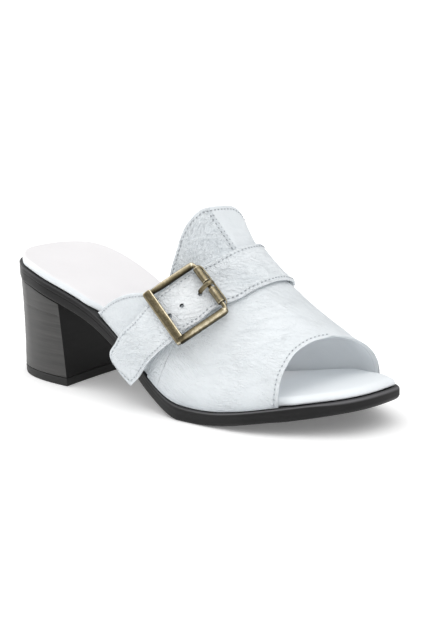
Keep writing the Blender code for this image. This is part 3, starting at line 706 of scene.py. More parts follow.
# ---------------------------------------------------------------- materials
class Graph:
    """A small helper to write a material's nodes."""

    def __init__(self, name, roughness, metallic=0.0, specular=0.5, coat=0.0, coat_roughness=0.2):
        self.made = bpy.data.materials.new(name)
        self.made.use_nodes = True
        self.nodes = self.made.node_tree.nodes
        self.links = self.made.node_tree.links
        self.shader = self.nodes["Principled BSDF"]
        self.shader.inputs["Roughness"].default_value = roughness
        self.shader.inputs["Metallic"].default_value = metallic
        self.shader.inputs["Specular IOR Level"].default_value = specular
        self.shader.inputs["Coat Weight"].default_value = coat
        self.shader.inputs["Coat Roughness"].default_value = coat_roughness

    def add(self, kind, **values):
        node = self.nodes.new(kind)
        for key, value in values.items():
            setattr(node, key, value)
        return node

    def wire(self, source, target):
        self.links.new(source, target)

    def attribute(self, key, vector=True):
        node = self.add("ShaderNodeAttribute", attribute_name=key)
        return node.outputs["Vector" if vector else "Fac"]

    def mapping(self, source, scale, offset=(0, 0, 0)):
        node = self.add("ShaderNodeMapping")
        node.inputs["Scale"].default_value = scale
        node.inputs["Location"].default_value = offset
        self.wire(source, node.inputs["Vector"])
        return node.outputs["Vector"]

    def noise(self, source, scale, detail=3.0, rough=0.5, distortion=0.0):
        node = self.add("ShaderNodeTexNoise")
        node.inputs["Scale"].default_value = scale
        node.inputs["Detail"].default_value = detail
        node.inputs["Roughness"].default_value = rough
        node.inputs["Distortion"].default_value = distortion
        self.wire(source, node.inputs["Vector"])
        return node.outputs["Fac"]

    def cells(self, source, scale, feature="F1", smoothness=None):
        node = self.add("ShaderNodeTexVoronoi", feature=feature)
        node.inputs["Scale"].default_value = scale
        if smoothness is not None:
            node.inputs["Smoothness"].default_value = smoothness
        self.wire(source, node.inputs["Vector"])
        return node.outputs["Distance"]

    def ramp(self, source, stops):
        node = self.add("ShaderNodeValToRGB")
        element = node.color_ramp.elements
        while len(element) < len(stops):
            element.new(0.5)
        for e, (at, colour) in zip(element, stops):
            e.position = at
            e.color = (*colour, 1.0) if len(colour) == 3 else colour
        self.wire(source, node.inputs["Fac"])
        return node.outputs["Color"]

    def blend(self, factor, a, b, mode="MIX"):
        node = self.add("ShaderNodeMix", data_type="RGBA", blend_type=mode)
        for socket, value in ((node.inputs[0], factor), (node.inputs[6], a), (node.inputs[7], b)):
            if isinstance(value, (int, float)):
                socket.default_value = value
            elif isinstance(value, tuple):
                socket.default_value = (*value, 1.0)
            else:
                self.wire(value, socket)
        return node.outputs[2]

    def maths(self, operation, a, b=None):
        node = self.add("ShaderNodeMath", operation=operation)
        for socket, value in zip(node.inputs, (a, b)):
            if value is None:
                continue
            if isinstance(value, (int, float)):
                socket.default_value = value
            else:
                self.wire(value, socket)
        return node.outputs[0]

    def span(self, source, low, high, to_low, to_high):
        node = self.add("ShaderNodeMapRange")
        node.inputs["From Min"].default_value = low
        node.inputs["From Max"].default_value = high
        node.inputs["To Min"].default_value = to_low
        node.inputs["To Max"].default_value = to_high
        self.wire(source, node.inputs["Value"])
        return node.outputs["Result"]

    def warped(self, source, scale, amount):
        """Coordinates pushed about by a soft noise."""
        noise = self.add("ShaderNodeTexNoise")
        noise.inputs["Scale"].default_value = scale
        noise.inputs["Detail"].default_value = 2.0
        self.wire(source, noise.inputs["Vector"])
        push = self.add("ShaderNodeVectorMath", operation="MULTIPLY_ADD")
        self.wire(noise.outputs["Color"], push.inputs[0])
        push.inputs[1].default_value = (amount, amount, 0.0)
        self.wire(source, push.inputs[2])
        return push.outputs[0]

    def bump(self, height, distance, strength=1.0, under=None):
        node = self.add("ShaderNodeBump")
        node.inputs["Distance"].default_value = distance
        node.inputs["Strength"].default_value = strength
        self.wire(height, node.inputs["Height"])
        if under is not None:
            self.wire(under, node.inputs["Normal"])
        return node.outputs["Normal"]

    def finish(self, colour=None, roughness=None, normal=None):
        if colour is not None:
            self.wire(colour, self.shader.inputs["Base Color"])
        if roughness is not None:
            self.wire(roughness, self.shader.inputs["Roughness"])
        if normal is not None:
            self.wire(normal, self.shader.inputs["Normal"])
        return self.made


def leather(name, pale, deep, shade_colour, rough, grain=1.0, depth=0.00006, crease=0.00036, specular=0.42):
    """Soft full-grain leather. Small cells and narrow wrinkles run with the attribute flow
    and stand out with the attribute rough; pores lie everywhere, painted shade darkens the wrinkles' valleys, and marks
    add painted shade and painted light."""
    g = Graph(name, sum(rough) / 2, specular=specular)
    at = g.attribute("mm")
    patches = g.noise(at, 0.055, 3.0, 0.55)
    colour = g.ramp(patches, ((0.32, deep), (0.68, pale)))
    pores = g.cells(at, grain, "SMOOTH_F1", 0.35)
    fine = g.noise(at, grain * 2.6, 3.0, 0.6)
    pebbles = g.maths("ADD", g.span(pores, 0.0, 0.75, 1.0, 0.0), g.maths("MULTIPLY", fine, 0.45))
    share = g.attribute("rough", vector=False)
    flow = g.warped(g.attribute("flow"), 0.28, 2.6)
    walls = g.span(g.cells(g.mapping(flow, (0.36, 0.84, 1.0)), 1.0, "DISTANCE_TO_EDGE"), 0.0, 0.20, 0.0, 1.0)
    lines = g.noise(g.mapping(flow, (0.22, 0.46, 0.4)), 1.0, 1.5, 0.5, 0.4)
    valleys = g.span(g.maths("ABSOLUTE", g.maths("SUBTRACT", lines, 0.5)), 0.0, 0.075, 0.0, 1.0)
    height = g.maths("ADD", g.maths("MULTIPLY", walls, 0.55), g.maths("MULTIPLY", valleys, 0.75))
    low = g.bump(g.maths("MULTIPLY", height, share), crease, 1.0)
    normal = g.bump(pebbles, depth, 0.8, low)
    # painted shade from a mark attribute, blended towards the shade colour
    painted_shade_and_dark_line = g.attribute("painted_shade_and_dark_line", vector=False)
    colour = g.blend(g.span(painted_shade_and_dark_line, 0.0, 1.0, 0.0, 0.85), colour, shade_colour)
    # painted shade in the wrinkles' valleys
    crease_shade = g.maths("MULTIPLY", g.span(height, 0.0, 1.1, 0.07, 0.0), share)
    colour = g.blend(crease_shade, colour, shade_colour)
    # painted light: a lighter patch where a mark attribute asks for it
    colour = g.blend(g.attribute("painted_light", vector=False), colour, (0.94, 0.955, 0.965))
    tint = g.blend(g.span(g.noise(at, 0.9, 2.0), 0.35, 0.65, 0.0, 0.22), colour, deep)
    shine = g.span(g.noise(at, 0.35, 3.0, 0.6), 0.3, 0.7, rough[0], rough[1])
    return g.finish(tint, shine, normal)


def smooth_leather(name, pale, deep, rough, grain=2.2, depth=0.00002, specular=0.4):
    g = Graph(name, sum(rough) / 2, specular=specular)
    at = g.attribute("mm")
    colour = g.ramp(g.noise(at, 0.045, 3.0, 0.5), ((0.3, deep), (0.7, pale)))
    pores = g.cells(at, grain, "SMOOTH_F1", 0.5)
    fine = g.noise(at, grain * 2.0, 3.0, 0.6)
    normal = g.bump(g.maths("ADD", pores, fine), depth, 0.6)
    # painted shade from a mark attribute
    painted_shade_and_dark_line = g.attribute("painted_shade_and_dark_line", vector=False)
    colour = g.blend(g.span(painted_shade_and_dark_line, 0.0, 1.0, 0.0, 0.85), colour, tuple(0.55 * c for c in deep))
    shine = g.span(g.noise(at, 0.25, 3.0, 0.6), 0.3, 0.7, rough[0], rough[1])
    return g.finish(colour, shine, normal)


def footbed_leather(name, warm, cool, rough):
    """Smooth footbed leather: a warm white sock over the heel and waist, and the upper's
    cooler leather round the edge and under the toes."""
    g = Graph(name, sum(rough) / 2, specular=0.45)
    at = g.attribute("mm")
    patches = g.noise(at, 0.045, 3.0, 0.5)
    sock = g.ramp(patches, ((0.3, warm[1]), (0.7, warm[0])))
    cover = g.ramp(patches, ((0.3, cool[1]), (0.7, cool[0])))
    colour = g.blend(g.attribute("tone", vector=False), sock, cover)
    # painted shade from a mark attribute, all zero on the footbed
    painted_shade_and_dark_line = g.attribute("painted_shade_and_dark_line", vector=False)
    colour = g.blend(g.span(painted_shade_and_dark_line, 0.0, 1.0, 0.0, 0.8), colour, tuple(0.5 * c for c in cool[1]))
    pores = g.cells(at, 2.4, "SMOOTH_F1", 0.5)
    fine = g.noise(at, 4.6, 3.0, 0.6)
    shine = g.span(g.noise(at, 0.25, 3.0, 0.6), 0.3, 0.7, rough[0], rough[1])
    return g.finish(colour, shine, g.bump(g.maths("ADD", pores, fine), 0.00002, 0.6))


def thread(name, pale, deep):
    """Twisted polyester thread."""
    g = Graph(name, 0.6, specular=0.35)
    at = g.mapping(g.add("ShaderNodeTexCoord").outputs["Object"], (1000.0, 1000.0, 1000.0))
    twist = g.noise(at, 3.2, 2.0, 0.5, 0.8)
    colour = g.ramp(twist, ((0.35, deep), (0.65, pale)))
    return g.finish(colour, g.span(twist, 0.3, 0.7, 0.5, 0.7), g.bump(twist, 0.00006, 0.8))


def sole_finish(name, dark, light, rough, streak=(0.05, 0.05, 0.5), depth=0.00003, specular=0.45, painted_highlight=None):
    """Buffed synthetic sole: fine lengthwise buffing marks, faint scuffs."""
    g = Graph(name, sum(rough) / 2, specular=specular)
    at = g.mapping(g.add("ShaderNodeTexCoord").outputs["Object"], (1000.0, 1000.0, 1000.0))
    marks = g.noise(g.mapping(at, streak), 1.6, 4.0, 0.6)
    fine = g.noise(at, 1.9, 3.0, 0.65)
    mixed = g.maths("ADD", g.maths("MULTIPLY", marks, 0.7), g.maths("MULTIPLY", fine, 0.3))
    colour = g.ramp(mixed, ((0.35, dark), (0.68, light)))
    # a painted highlight line, where a mark attribute asks for it
    if painted_highlight is not None:
        colour = g.blend(g.attribute("painted_highlight", vector=False), colour, painted_highlight)
    shine = g.span(mixed, 0.3, 0.7, rough[0], rough[1])
    return g.finish(colour, shine, g.bump(mixed, depth, 0.7))


def stacked(name):
    """Stacked heel sides, stained charcoal: thin layers with uneven grain, lying level."""
    g = Graph(name, 0.42, specular=0.45)
    at = g.mapping(g.add("ShaderNodeTexCoord").outputs["Object"], (1000.0, 1000.0, 1000.0))
    layers = g.noise(g.mapping(at, (0.018, 0.018, 0.42)), 1.0, 5.0, 0.66, 0.25)
    hairs = g.noise(g.mapping(at, (0.05, 0.05, 2.1)), 1.0, 3.0, 0.6, 0.15)
    blot = g.noise(g.mapping(at, (0.06, 0.06, 0.10)), 1.0, 2.0, 0.5)
    mixed = g.maths("ADD", g.maths("MULTIPLY", layers, 0.55), g.maths("MULTIPLY", hairs, 0.25))
    mixed = g.maths("ADD", mixed, g.maths("MULTIPLY", blot, 0.2))
    colour = g.ramp(
        mixed,
        ((0.34, (0.011, 0.0108, 0.0103)), (0.46, (0.0245, 0.024, 0.023)), (0.55, (0.037, 0.036, 0.0345)), (0.66, (0.055, 0.053, 0.051))),
    )
    # a dark line from a mark attribute, along a shallow groove round the heel's back and sides
    painted_shade_and_dark_line = g.attribute("painted_shade_and_dark_line", vector=False)
    colour = g.blend(painted_shade_and_dark_line, colour, (0.022, 0.021, 0.020))
    shine = g.span(mixed, 0.35, 0.65, 0.36, 0.50)
    return g.finish(colour, shine, g.bump(mixed, 0.00008, 0.6))


def brass(name):
    """Aged brass: dark patina in the low places, rubbed gold along the edges, and painted light from the same mark:
    lighter tops, painted shade underneath and on inner sides, painted highlights on ridges.
    """
    g = Graph(name, 0.36, metallic=1.0, specular=0.5)
    at = g.mapping(g.add("ShaderNodeTexCoord").outputs["Object"], (1000.0, 1000.0, 1000.0))
    blot = g.noise(at, 0.55, 4.0, 0.62)
    speck = g.noise(at, 2.6, 3.0, 0.6)
    # this mark holds real wear together with painted light and shade
    wear_and_light = g.attribute("wear_and_light", vector=False)
    worn_and_lit = g.maths("ADD", wear_and_light, g.span(blot, 0.3, 0.7, -0.11, 0.11))
    worn_and_lit = g.maths("ADD", worn_and_lit, g.span(speck, 0.3, 0.7, -0.12, 0.12))
    colour = g.ramp(
        worn_and_lit,
        ((0.05, (0.026, 0.021, 0.012)), (0.36, (0.100, 0.082, 0.048)), (0.66, (0.27, 0.228, 0.145)), (0.97, (0.74, 0.66, 0.49))),
    )
    shine = g.span(worn_and_lit, 0.0, 1.0, 0.48, 0.24)
    return g.finish(colour, shine, g.bump(g.maths("ADD", blot, g.maths("MULTIPLY", speck, 0.5)), 0.00006, 0.45))


WHITE = leather("white_leather", (0.80, 0.835, 0.86), (0.76, 0.80, 0.825), (0.36, 0.41, 0.45), (0.40, 0.54))
LINING = smooth_leather("lining_leather", (0.89, 0.92, 0.94), (0.86, 0.89, 0.915), (0.5, 0.62))
FOOTBED = footbed_leather("footbed_leather", ((0.815, 0.80, 0.81), (0.795, 0.78, 0.79)), ((0.82, 0.855, 0.88), (0.80, 0.835, 0.86)), (0.34, 0.46))
THREAD = thread("grey_thread", (0.42, 0.445, 0.47), (0.28, 0.30, 0.32))
# a paler copy of the same thread: painted light for rows on the more brightly lit pieces
LIT_THREAD = thread("thread_painted_light", (0.56, 0.59, 0.62), (0.40, 0.425, 0.45))
SOLE_FINISH = sole_finish("sole_black", (0.003, 0.003, 0.0031), (0.009, 0.0088, 0.0092), (0.40, 0.54), specular=0.27, painted_highlight=(0.125, 0.124, 0.130))
BREAST_FINISH = sole_finish("breast_black", (0.005, 0.005, 0.005), (0.010, 0.010, 0.010), (0.45, 0.6), (0.3, 0.3, 0.3), specular=0.2)
RUBBER = sole_finish("heel_rubber_black", (0.008, 0.0079, 0.0077), (0.016, 0.0157, 0.0152), (0.5, 0.65), specular=0.35)
STACK = stacked("stacked_heel_grey")
BRASS = brass("aged_brass_finish")


# ---------------------------------------------------------------- relief shared by the leather pieces
def resampled(points, spacing):
    points = np.asarray(points, float)
    run = np.concatenate([[0], np.cumsum(np.linalg.norm(np.diff(points, axis=0), axis=1))])
    at = np.linspace(0, run[-1], max(2, int(run[-1] / spacing)))
    return np.stack([np.interp(at, run, points[:, c]) for c in range(3)], -1), run[-1]


def nearest(grid, targets, reach):
    """Distance from every grid point to the nearest target, or reach if none is so near."""
    flat = grid.reshape(-1, 3)
    low, high = targets.min(0) - reach, targets.max(0) + reach
    chosen = np.flatnonzero(((flat > low) & (flat < high)).all(1))
    best = np.full(len(flat), reach**2)
    for start in range(0, len(chosen), 4000):
        part = chosen[start : start + 4000]
        d = ((flat[part][:, None] - targets[None]) ** 2).sum(-1).min(1)
        best[part] = np.minimum(best[part], d)
    return np.sqrt(best).reshape(grid.shape[:-1])


PITCH = 2.4


def drawn_by(grid, path, depth=0.06, width=0.6, pit=0.22, pit_width=0.45, pitch=PITCH):
    """Relief of one stitched row: a shallow channel, and a dimple at every needle hole; with it, a mask of painted
    shade for the channel and the holes.
    """
    line, total = resampled(path, 0.4)
    count = max(1, int(round(total / pitch)))
    holes = np.stack([np.interp(np.linspace(0, 1, count + 1), np.linspace(0, 1, len(line)), line[:, c]) for c in range(3)], -1)
    d = nearest(grid, line, 4.0)
    e = nearest(grid, holes, 2.0)
    channel = np.exp(-((d / width) ** 2))
    # the leather swells a little on both sides of the thread
    swell = np.exp(-(((d - 1.5) / 0.8) ** 2))
    pits = np.exp(-((e / pit_width) ** 2))
    # the second value paints shade into the channel and the needle holes
    return -depth * channel + 0.25 * depth * swell - pit * pits, np.clip(0.10 * channel + 0.25 * pits, 0, 1)


# ---------------------------------------------------------------- upper: vamp and tongue
VAMP_ROWS, VAMP_COLUMNS = 241, 289
ENDS = np.array([0.0, 0.08, 0.2, 0.38, 0.6, 0.9, 1.25])


def upper_grid(rows, columns, inset=0.0):
    """u, v over the upper, with rows close together beside its two open edges."""
    v = np.linspace(0, 2, columns)
    rear, front = _rear(v), _front(v)
    coarse = last(rear + np.linspace(0, 1, 60)[:, None] * (front - rear), np.broadcast_to(v, (60, columns)))
    length = np.linalg.norm(np.diff(coarse, axis=0), axis=-1).sum(0)
    e = ENDS + inset
    share = np.linspace(0, 1, rows - 2 * (len(e) - 1))[:, None]
    middle = e[-1] + share * (length - 2 * e[-1])
    low = np.repeat(e[:-1, None], columns, 1)
    d = np.concatenate([low, middle, (length - low)[::-1]])
    u = rear + d / length * (front - rear)
    return u, np.broadcast_to(v, u.shape)


def over_sole(grid, lift=0.0):
    grid[..., 2] = np.maximum(grid[..., 2], feather(grid[..., 0]) + GAP + lift)
    return grid


UU, VV = upper_grid(VAMP_ROWS, VAMP_COLUMNS)
BASE = over_sole(last(UU, VV))
NORMAL = last_normal(UU, VV)
RUN = arc_lengths(BASE, 0)
from_rear, from_front = RUN, RUN[-1] - RUN
CROSS = arc_lengths(BASE, 1)
PP = CROSS - CROSS[:, [VAMP_COLUMNS // 2]]
QQ = np.empty_like(RUN)
for _j in range(VAMP_COLUMNS):
    QQ[:, _j] = RUN[:, _j] - np.interp(5.0, UU[:, _j], RUN[:, _j])


def upper_rc(line):
    """Fractional row and column of (v, u) points on the upper."""
    rows, columns = [], []
    for v, u in line:
        j = v / 2 * (VAMP_COLUMNS - 1)
        column = UU[:, min(int(round(j)), VAMP_COLUMNS - 1)]
        rows.append(np.interp(u, column, np.arange(VAMP_ROWS)))
        columns.append(j)
    return np.array(rows), np.array(columns)


def upper_pq(line):
    i, j = upper_rc(line)
    i0, j0 = np.round(i).astype(int), np.round(j).astype(int)
    return np.stack([PP[i0, j0], QQ[i0, j0]], -1)


# Creases of the tongue, placed one by one: depth, width, then (v, u) points.
TONGUE_CREASES = (
    (0.20, 0.8, ((0.755, 1.264), (0.79, 1.481), (0.84, 1.671), (0.89, 1.844))),
    (0.28, 0.9, ((0.675, 1.491), (0.735, 1.562), (0.79, 1.747), (0.843, 1.963), (0.87, 2.163))),
    (0.34, 1.0, ((0.615, 1.70), (0.662, 1.717), (0.723, 1.804), (0.787, 1.969), (0.848, 2.199), (0.88, 2.397))),
    (0.36, 0.9, ((0.59, 1.878), (0.645, 1.909), (0.705, 1.986), (0.772, 2.184), (0.838, 2.422))),
    (0.40, 1.0, ((0.565, 2.04), (0.61, 2.072), (0.665, 2.156), (0.728, 2.282), (0.802, 2.499), (0.865, 2.72))),
    (0.40, 1.0, ((0.537, 2.196), (0.583, 2.224), (0.64, 2.28), (0.71, 2.394), (0.785, 2.608), (0.853, 2.861))),
    (0.36, 1.0, ((0.54, 2.333), (0.60, 2.373), (0.66, 2.463), (0.728, 2.627), (0.792, 2.838), (0.858, 3.07))),
    (0.32, 1.1, ((0.552, 2.494), (0.615, 2.574), (0.685, 2.701), (0.745, 2.844), (0.812, 3.009))),
    (0.28, 1.0, ((0.598, 2.688), (0.647, 2.797), (0.705, 2.888))),
    (0.10, 0.8, ((0.988, 1.545), (1.02, 1.779), (1.05, 2.061))),
    (0.12, 0.9, ((1.015, 2.146), (1.078, 2.324), (1.165, 2.42))),
    (0.12, 0.9, ((0.998, 2.616), (1.088, 2.692), (1.19, 2.748))),
)
# Creases of the vamp.
VAMP_CREASES = (
    (0.16, 1.0, ((0.542, 4.898), (0.628, 5.141), (0.728, 5.353), (0.838, 5.566), (0.955, 5.786))),
    (0.18, 1.0, ((0.473, 4.853), (0.547, 5.115), (0.62, 5.375), (0.688, 5.667), (0.77, 5.835))),
    (0.16, 0.9, ((0.403, 4.797), (0.465, 5.037), (0.51, 5.302), (0.57, 5.481))),
    (0.18, 1.0, ((0.45, 5.417), (0.52, 5.581), (0.598, 5.737), (0.677, 5.916))),
    (0.14, 0.9, ((0.343, 4.663), (0.385, 4.952), (0.435, 5.155), (0.463, 5.391))),
    (0.16, 1.0, ((0.25, 4.592), (0.297, 4.875), (0.33, 5.155), (0.375, 5.36), (0.395, 5.596))),
    (0.12, 0.9, ((0.18, 4.457), (0.22, 4.817), (0.263, 5.129), (0.27, 5.381))),
    (0.14, 0.9, ((0.403, 5.588), (0.478, 5.705), (0.547, 5.783))),
    (0.10, 1.0, ((0.147, 5.311), (0.18, 5.602), (0.233, 5.894), (0.297, 6.122))),
    (0.10, 1.0, ((0.16, 3.839), (0.193, 4.175), (0.235, 4.449))),
    (0.12, 1.0, ((0.745, 4.832), (0.853, 5.065), (0.92, 5.278), (1.052, 5.365))),
    (0.12, 1.0, ((0.875, 4.894), (1.01, 5.114), (1.093, 5.282), (1.133, 5.547), (1.117, 5.818))),
    (0.10, 1.1, ((1.117, 5.348), (1.097, 5.613), (1.083, 5.956), (1.173, 6.222))),
    (0.12, 1.0, ((0.633, 4.763), (0.70, 4.951), (0.787, 5.214), (0.853, 5.423))),
    (0.08, 1.0, ((0.048, 4.233), (0.06, 4.692), (0.068, 5.046), (0.092, 5.389))),
)
SEAM = ((0.872, 1.03), (0.897, 1.92), (0.901, 2.55), (0.907, 3.07), (0.910, 3.35))

relief = np.zeros(PP.shape)
painted_shade_and_dark_line = np.zeros(PP.shape)
for _table in (TONGUE_CREASES, VAMP_CREASES):
    for _depth, _width, _line in _table:
        _mark = soft_line(PP, QQ, upper_pq(_line), _width)
        relief -= _depth * _mark
        # the leather between two valleys stands up a little
        relief += 0.30 * _depth * soft_line(PP, QQ, upper_pq(_line) + [0.0, 1.9 * _width], 1.1 * _width)
        # painted shade in each crease
        painted_shade_and_dark_line += 0.30 * _depth / 0.4 * _mark

_seam_pq = upper_pq(SEAM)
_seam_at = np.interp(QQ, _seam_pq[:, 1], _seam_pq[:, 0])
_side = PP - _seam_at  # negative on the wrinkled lateral half of the tongue
_tongue = 1 / (1 + np.exp((UU - 3.5) / 0.25))
_lateral_half = 1 / (1 + np.exp(_side / 0.5))
_rough = _tongue * (0.15 + 0.85 * _lateral_half) + (1 - _tongue) * 0.36
# the way the fine wrinkles run: slopes in the spread-out leather
TONGUE_FLOW = ((-60, 0.30), (-37, 0.33), (-7, 0.90), (8, 0.45), (60, 0.20))
VAMP_FLOW = ((-95, 1.7), (-88, 1.6), (-68, 1.1), (-55, 1.05), (-30, 0.8), (-8, 0.7), (15, 0.3), (60, -0.3), (95, -0.9))
_flow_t, _flow_v = stream(PP, QQ, TONGUE_FLOW), stream(PP, QQ, VAMP_FLOW)
_on_tongue = UU < 3.6
FLOW = np.stack([np.where(_on_tongue, a, b) for a, b in zip(_flow_t, _flow_v)] + [np.where(_on_tongue, 10.0, 30.0)], -1)
_worn = 0.55 + 0.45 * layered(PP / 26.0, QQ / 22.0, 41, 2)
_fine_t = crepe(_flow_t[0], _flow_t[1], 8.0, 2.2, 0.16, 11)
_fine_v = crepe(_flow_v[0], _flow_v[1], 11.0, 2.6, 0.13, 23)
_grain = (0.30 * _tongue * _fine_t + 0.20 * (1 - _tongue) * _fine_v) * _rough * _worn
relief += _grain
relief += 0.09 * layered(PP / 15.0, QQ / 12.0, 61, 2)
# painted shade in the fine wrinkles' valleys
painted_shade_and_dark_line += -0.8 * _grain
_spread = 0.5 + 0.5 * np.clip(1.2 * layered(PP / 30.0, QQ / 16.0, 43, 2), -1, 1)
ROUGH = _tongue * (0.16 + 0.56 * _lateral_half) + (1 - _tongue) * (0.26 + 0.42 * _spread)

# stitched rows: along the tongue's edge, both sides of its seam, and round the toe opening
_columns = np.arange(VAMP_COLUMNS)


def row_beside(run, distance, v_low, v_high, from_end=False):
    j = np.linspace(v_low / 2 * (VAMP_COLUMNS - 1), v_high / 2 * (VAMP_COLUMNS - 1), 160)
    rows = np.arange(VAMP_ROWS)
    i = []
    for c in j:
        column = run[:, int(round(c))]
        if from_end:
            i.append(np.interp(distance, column[::-1], rows[::-1]))
        else:
            i.append(np.interp(distance, column, rows))
    i = np.convolve(np.pad(i, 3, mode="edge"), np.ones(7) / 7, "valid")
    return path_on(BASE, NORMAL, (i, j))


def beside_seam(offset, last_u):
    i, j = upper_rc(SEAM)
    keep = np.linspace(0, 1, 80)
    ii = np.interp(keep, np.linspace(0, 1, len(i)), i)
    jj = np.interp(keep, np.linspace(0, 1, len(j)), j)
    span = np.array([CROSS[int(a), min(int(b) + 1, VAMP_COLUMNS - 1)] - CROSS[int(a), int(b)] for a, b in zip(ii, jj)])
    jj = jj + offset / span
    away = path_on(BASE, NORMAL, (ii, jj))
    good = (path_on(from_rear[..., None], NORMAL, (ii, jj))[0][:, 0] > 3.4) & (ii < np.interp(last_u, UU[:, int(j[2])], np.arange(VAMP_ROWS)))
    return away[0][good], away[1][good]


UPPER_ROWS = {
    "tongue_edge": row_beside(from_rear, 1.9, 0.30, 1.72),
    "tongue_seam_lateral": beside_seam(-0.9, 3.6),
    "tongue_seam_medial": beside_seam(0.9, 3.6),
    "toe_opening": row_beside(from_front, 2.1, 0.02, 0.98, from_end=True),
}
for _path, _ in UPPER_ROWS.values():
    _r, _s = drawn_by(BASE, _path)
    relief += _r
    painted_shade_and_dark_line += _s
_seam_mark = np.exp(-((_side / 0.38) ** 2)) * (UU < 3.5)
relief -= 0.16 * _seam_mark
# painted shade in the seam's groove
painted_shade_and_dark_line += 0.30 * _seam_mark
# the medial half lies over the lateral one at the seam
relief += 0.16 * np.clip(_side / 0.4, 0, 1) * np.exp(-np.clip(_side, 0, 99) / 3.0) * (UU < 3.5)

_edge = np.minimum(from_rear, from_front)
relief *= np.clip(_edge / 1.2, 0.15, 1)
relief -= round_off(_edge, 0.35)
# a painted shade line along the medial half of the toe opening, and a darker spot at its top
_rim_shade = np.exp(-((from_front / 0.55) ** 2))
painted_shade_and_dark_line += 0.34 * _rim_shade / (1 + np.exp((1.0 - VV) / 0.03))
painted_shade_and_dark_line += 0.9 * _rim_shade * np.exp(-(((PP + 1.0) / 2.2) ** 2))
# turned edges are a little thicker than the field
relief += 0.03 * np.exp(-(((_edge - 1.2) / 1.0) ** 2))
OUTER = over_sole(BASE + relief[..., None] * NORMAL)
# the turned edges are thin
_thin = 0.75 * np.exp(-_edge / 1.8)
INNER = over_sole(BASE - (1.15 - _thin)[..., None] * NORMAL)
_points, _faces, _need = shell(OUTER, INNER, 6)
# painted shade: the lower edge is darkened where it lies in the welt's shade
painted_shade_and_dark_line += 0.42 * np.exp(-np.maximum(BASE[..., 2] - feather(BASE[..., 0]) - 1.0, 0) / 6.0)
# painted shade: the tongue's outer edge darkens towards the buckle
painted_shade_and_dark_line += 0.55 * _tongue * _lateral_half * np.exp(-((from_rear / 4.5) ** 2)) * np.clip((80.0 - BASE[..., 2]) / 14.0, 0, 1)
vamp = piece(
    "vamp_and_tongue",
    _points,
    _faces,
    WHITE,
    "white_leather",
    ["upper"],
    smooth=75.0,
    marks={
        "mm": both(np.stack([PP, QQ, 0 * PP], -1), _need),
        "flow": both(FLOW, _need),
        "rough": both(ROUGH, _need),
        "painted_shade_and_dark_line": both(np.clip(painted_shade_and_dark_line, 0, 1), _need),
    },
)

_u, _v = upper_grid(121, 145, inset=0.45)
_base = last(_u, _v)
_normal = last_normal(_u, _v)
_run = arc_lengths(_base, 0)
_cross = arc_lengths(_base, 1)
_edge = np.minimum(_run, _run[-1] - _run)
_ease = round_off(_edge, 0.2)[..., None]
_thin = 0.75 * np.exp(-_edge / 1.8)[..., None]
# a fold line where the lining's turned edge ends
_fold = 0.22 * np.exp(-(((_run[-1] - _run - 2.6) / 0.40) ** 2))[..., None] / (1 + np.exp((1.02 - _v[..., None]) / 0.03))
_soft = 0.05 * layered(_cross / 14.0, _run / 12.0, 71, 2)[..., None]
_points, _faces, _need = shell(
    over_sole(_base - (1.2 - _thin + _ease) * _normal),
    over_sole(_base - (1.8 - 1.2 * _thin - _ease - _fold + np.clip(_soft, 0, 1)) * _normal),
    1,
)
# painted shade along the fold line and along the lining's edge
_fold_shade = np.clip(2.0 * _fold[..., 0] + 0.5 * np.exp(-((_edge / 0.5) ** 2)), 0, 1)
lining = piece(
    "upper_lining",
    _points,
    _faces,
    LINING,
    "white_leather",
    smooth=75.0,
    marks={"mm": both(np.stack([_cross, _run, 0 * _run], -1), _need), "painted_shade_and_dark_line": both(_fold_shade, _need)},
)

for _name, (_path, _n) in UPPER_ROWS.items():
    # the medial row of the tongue's seam takes the paler, painted-light thread
    stitch_row("stitches_" + _name, _path, _n, pitch=PITCH, finish=LIT_THREAD if _name == "tongue_seam_medial" else None)


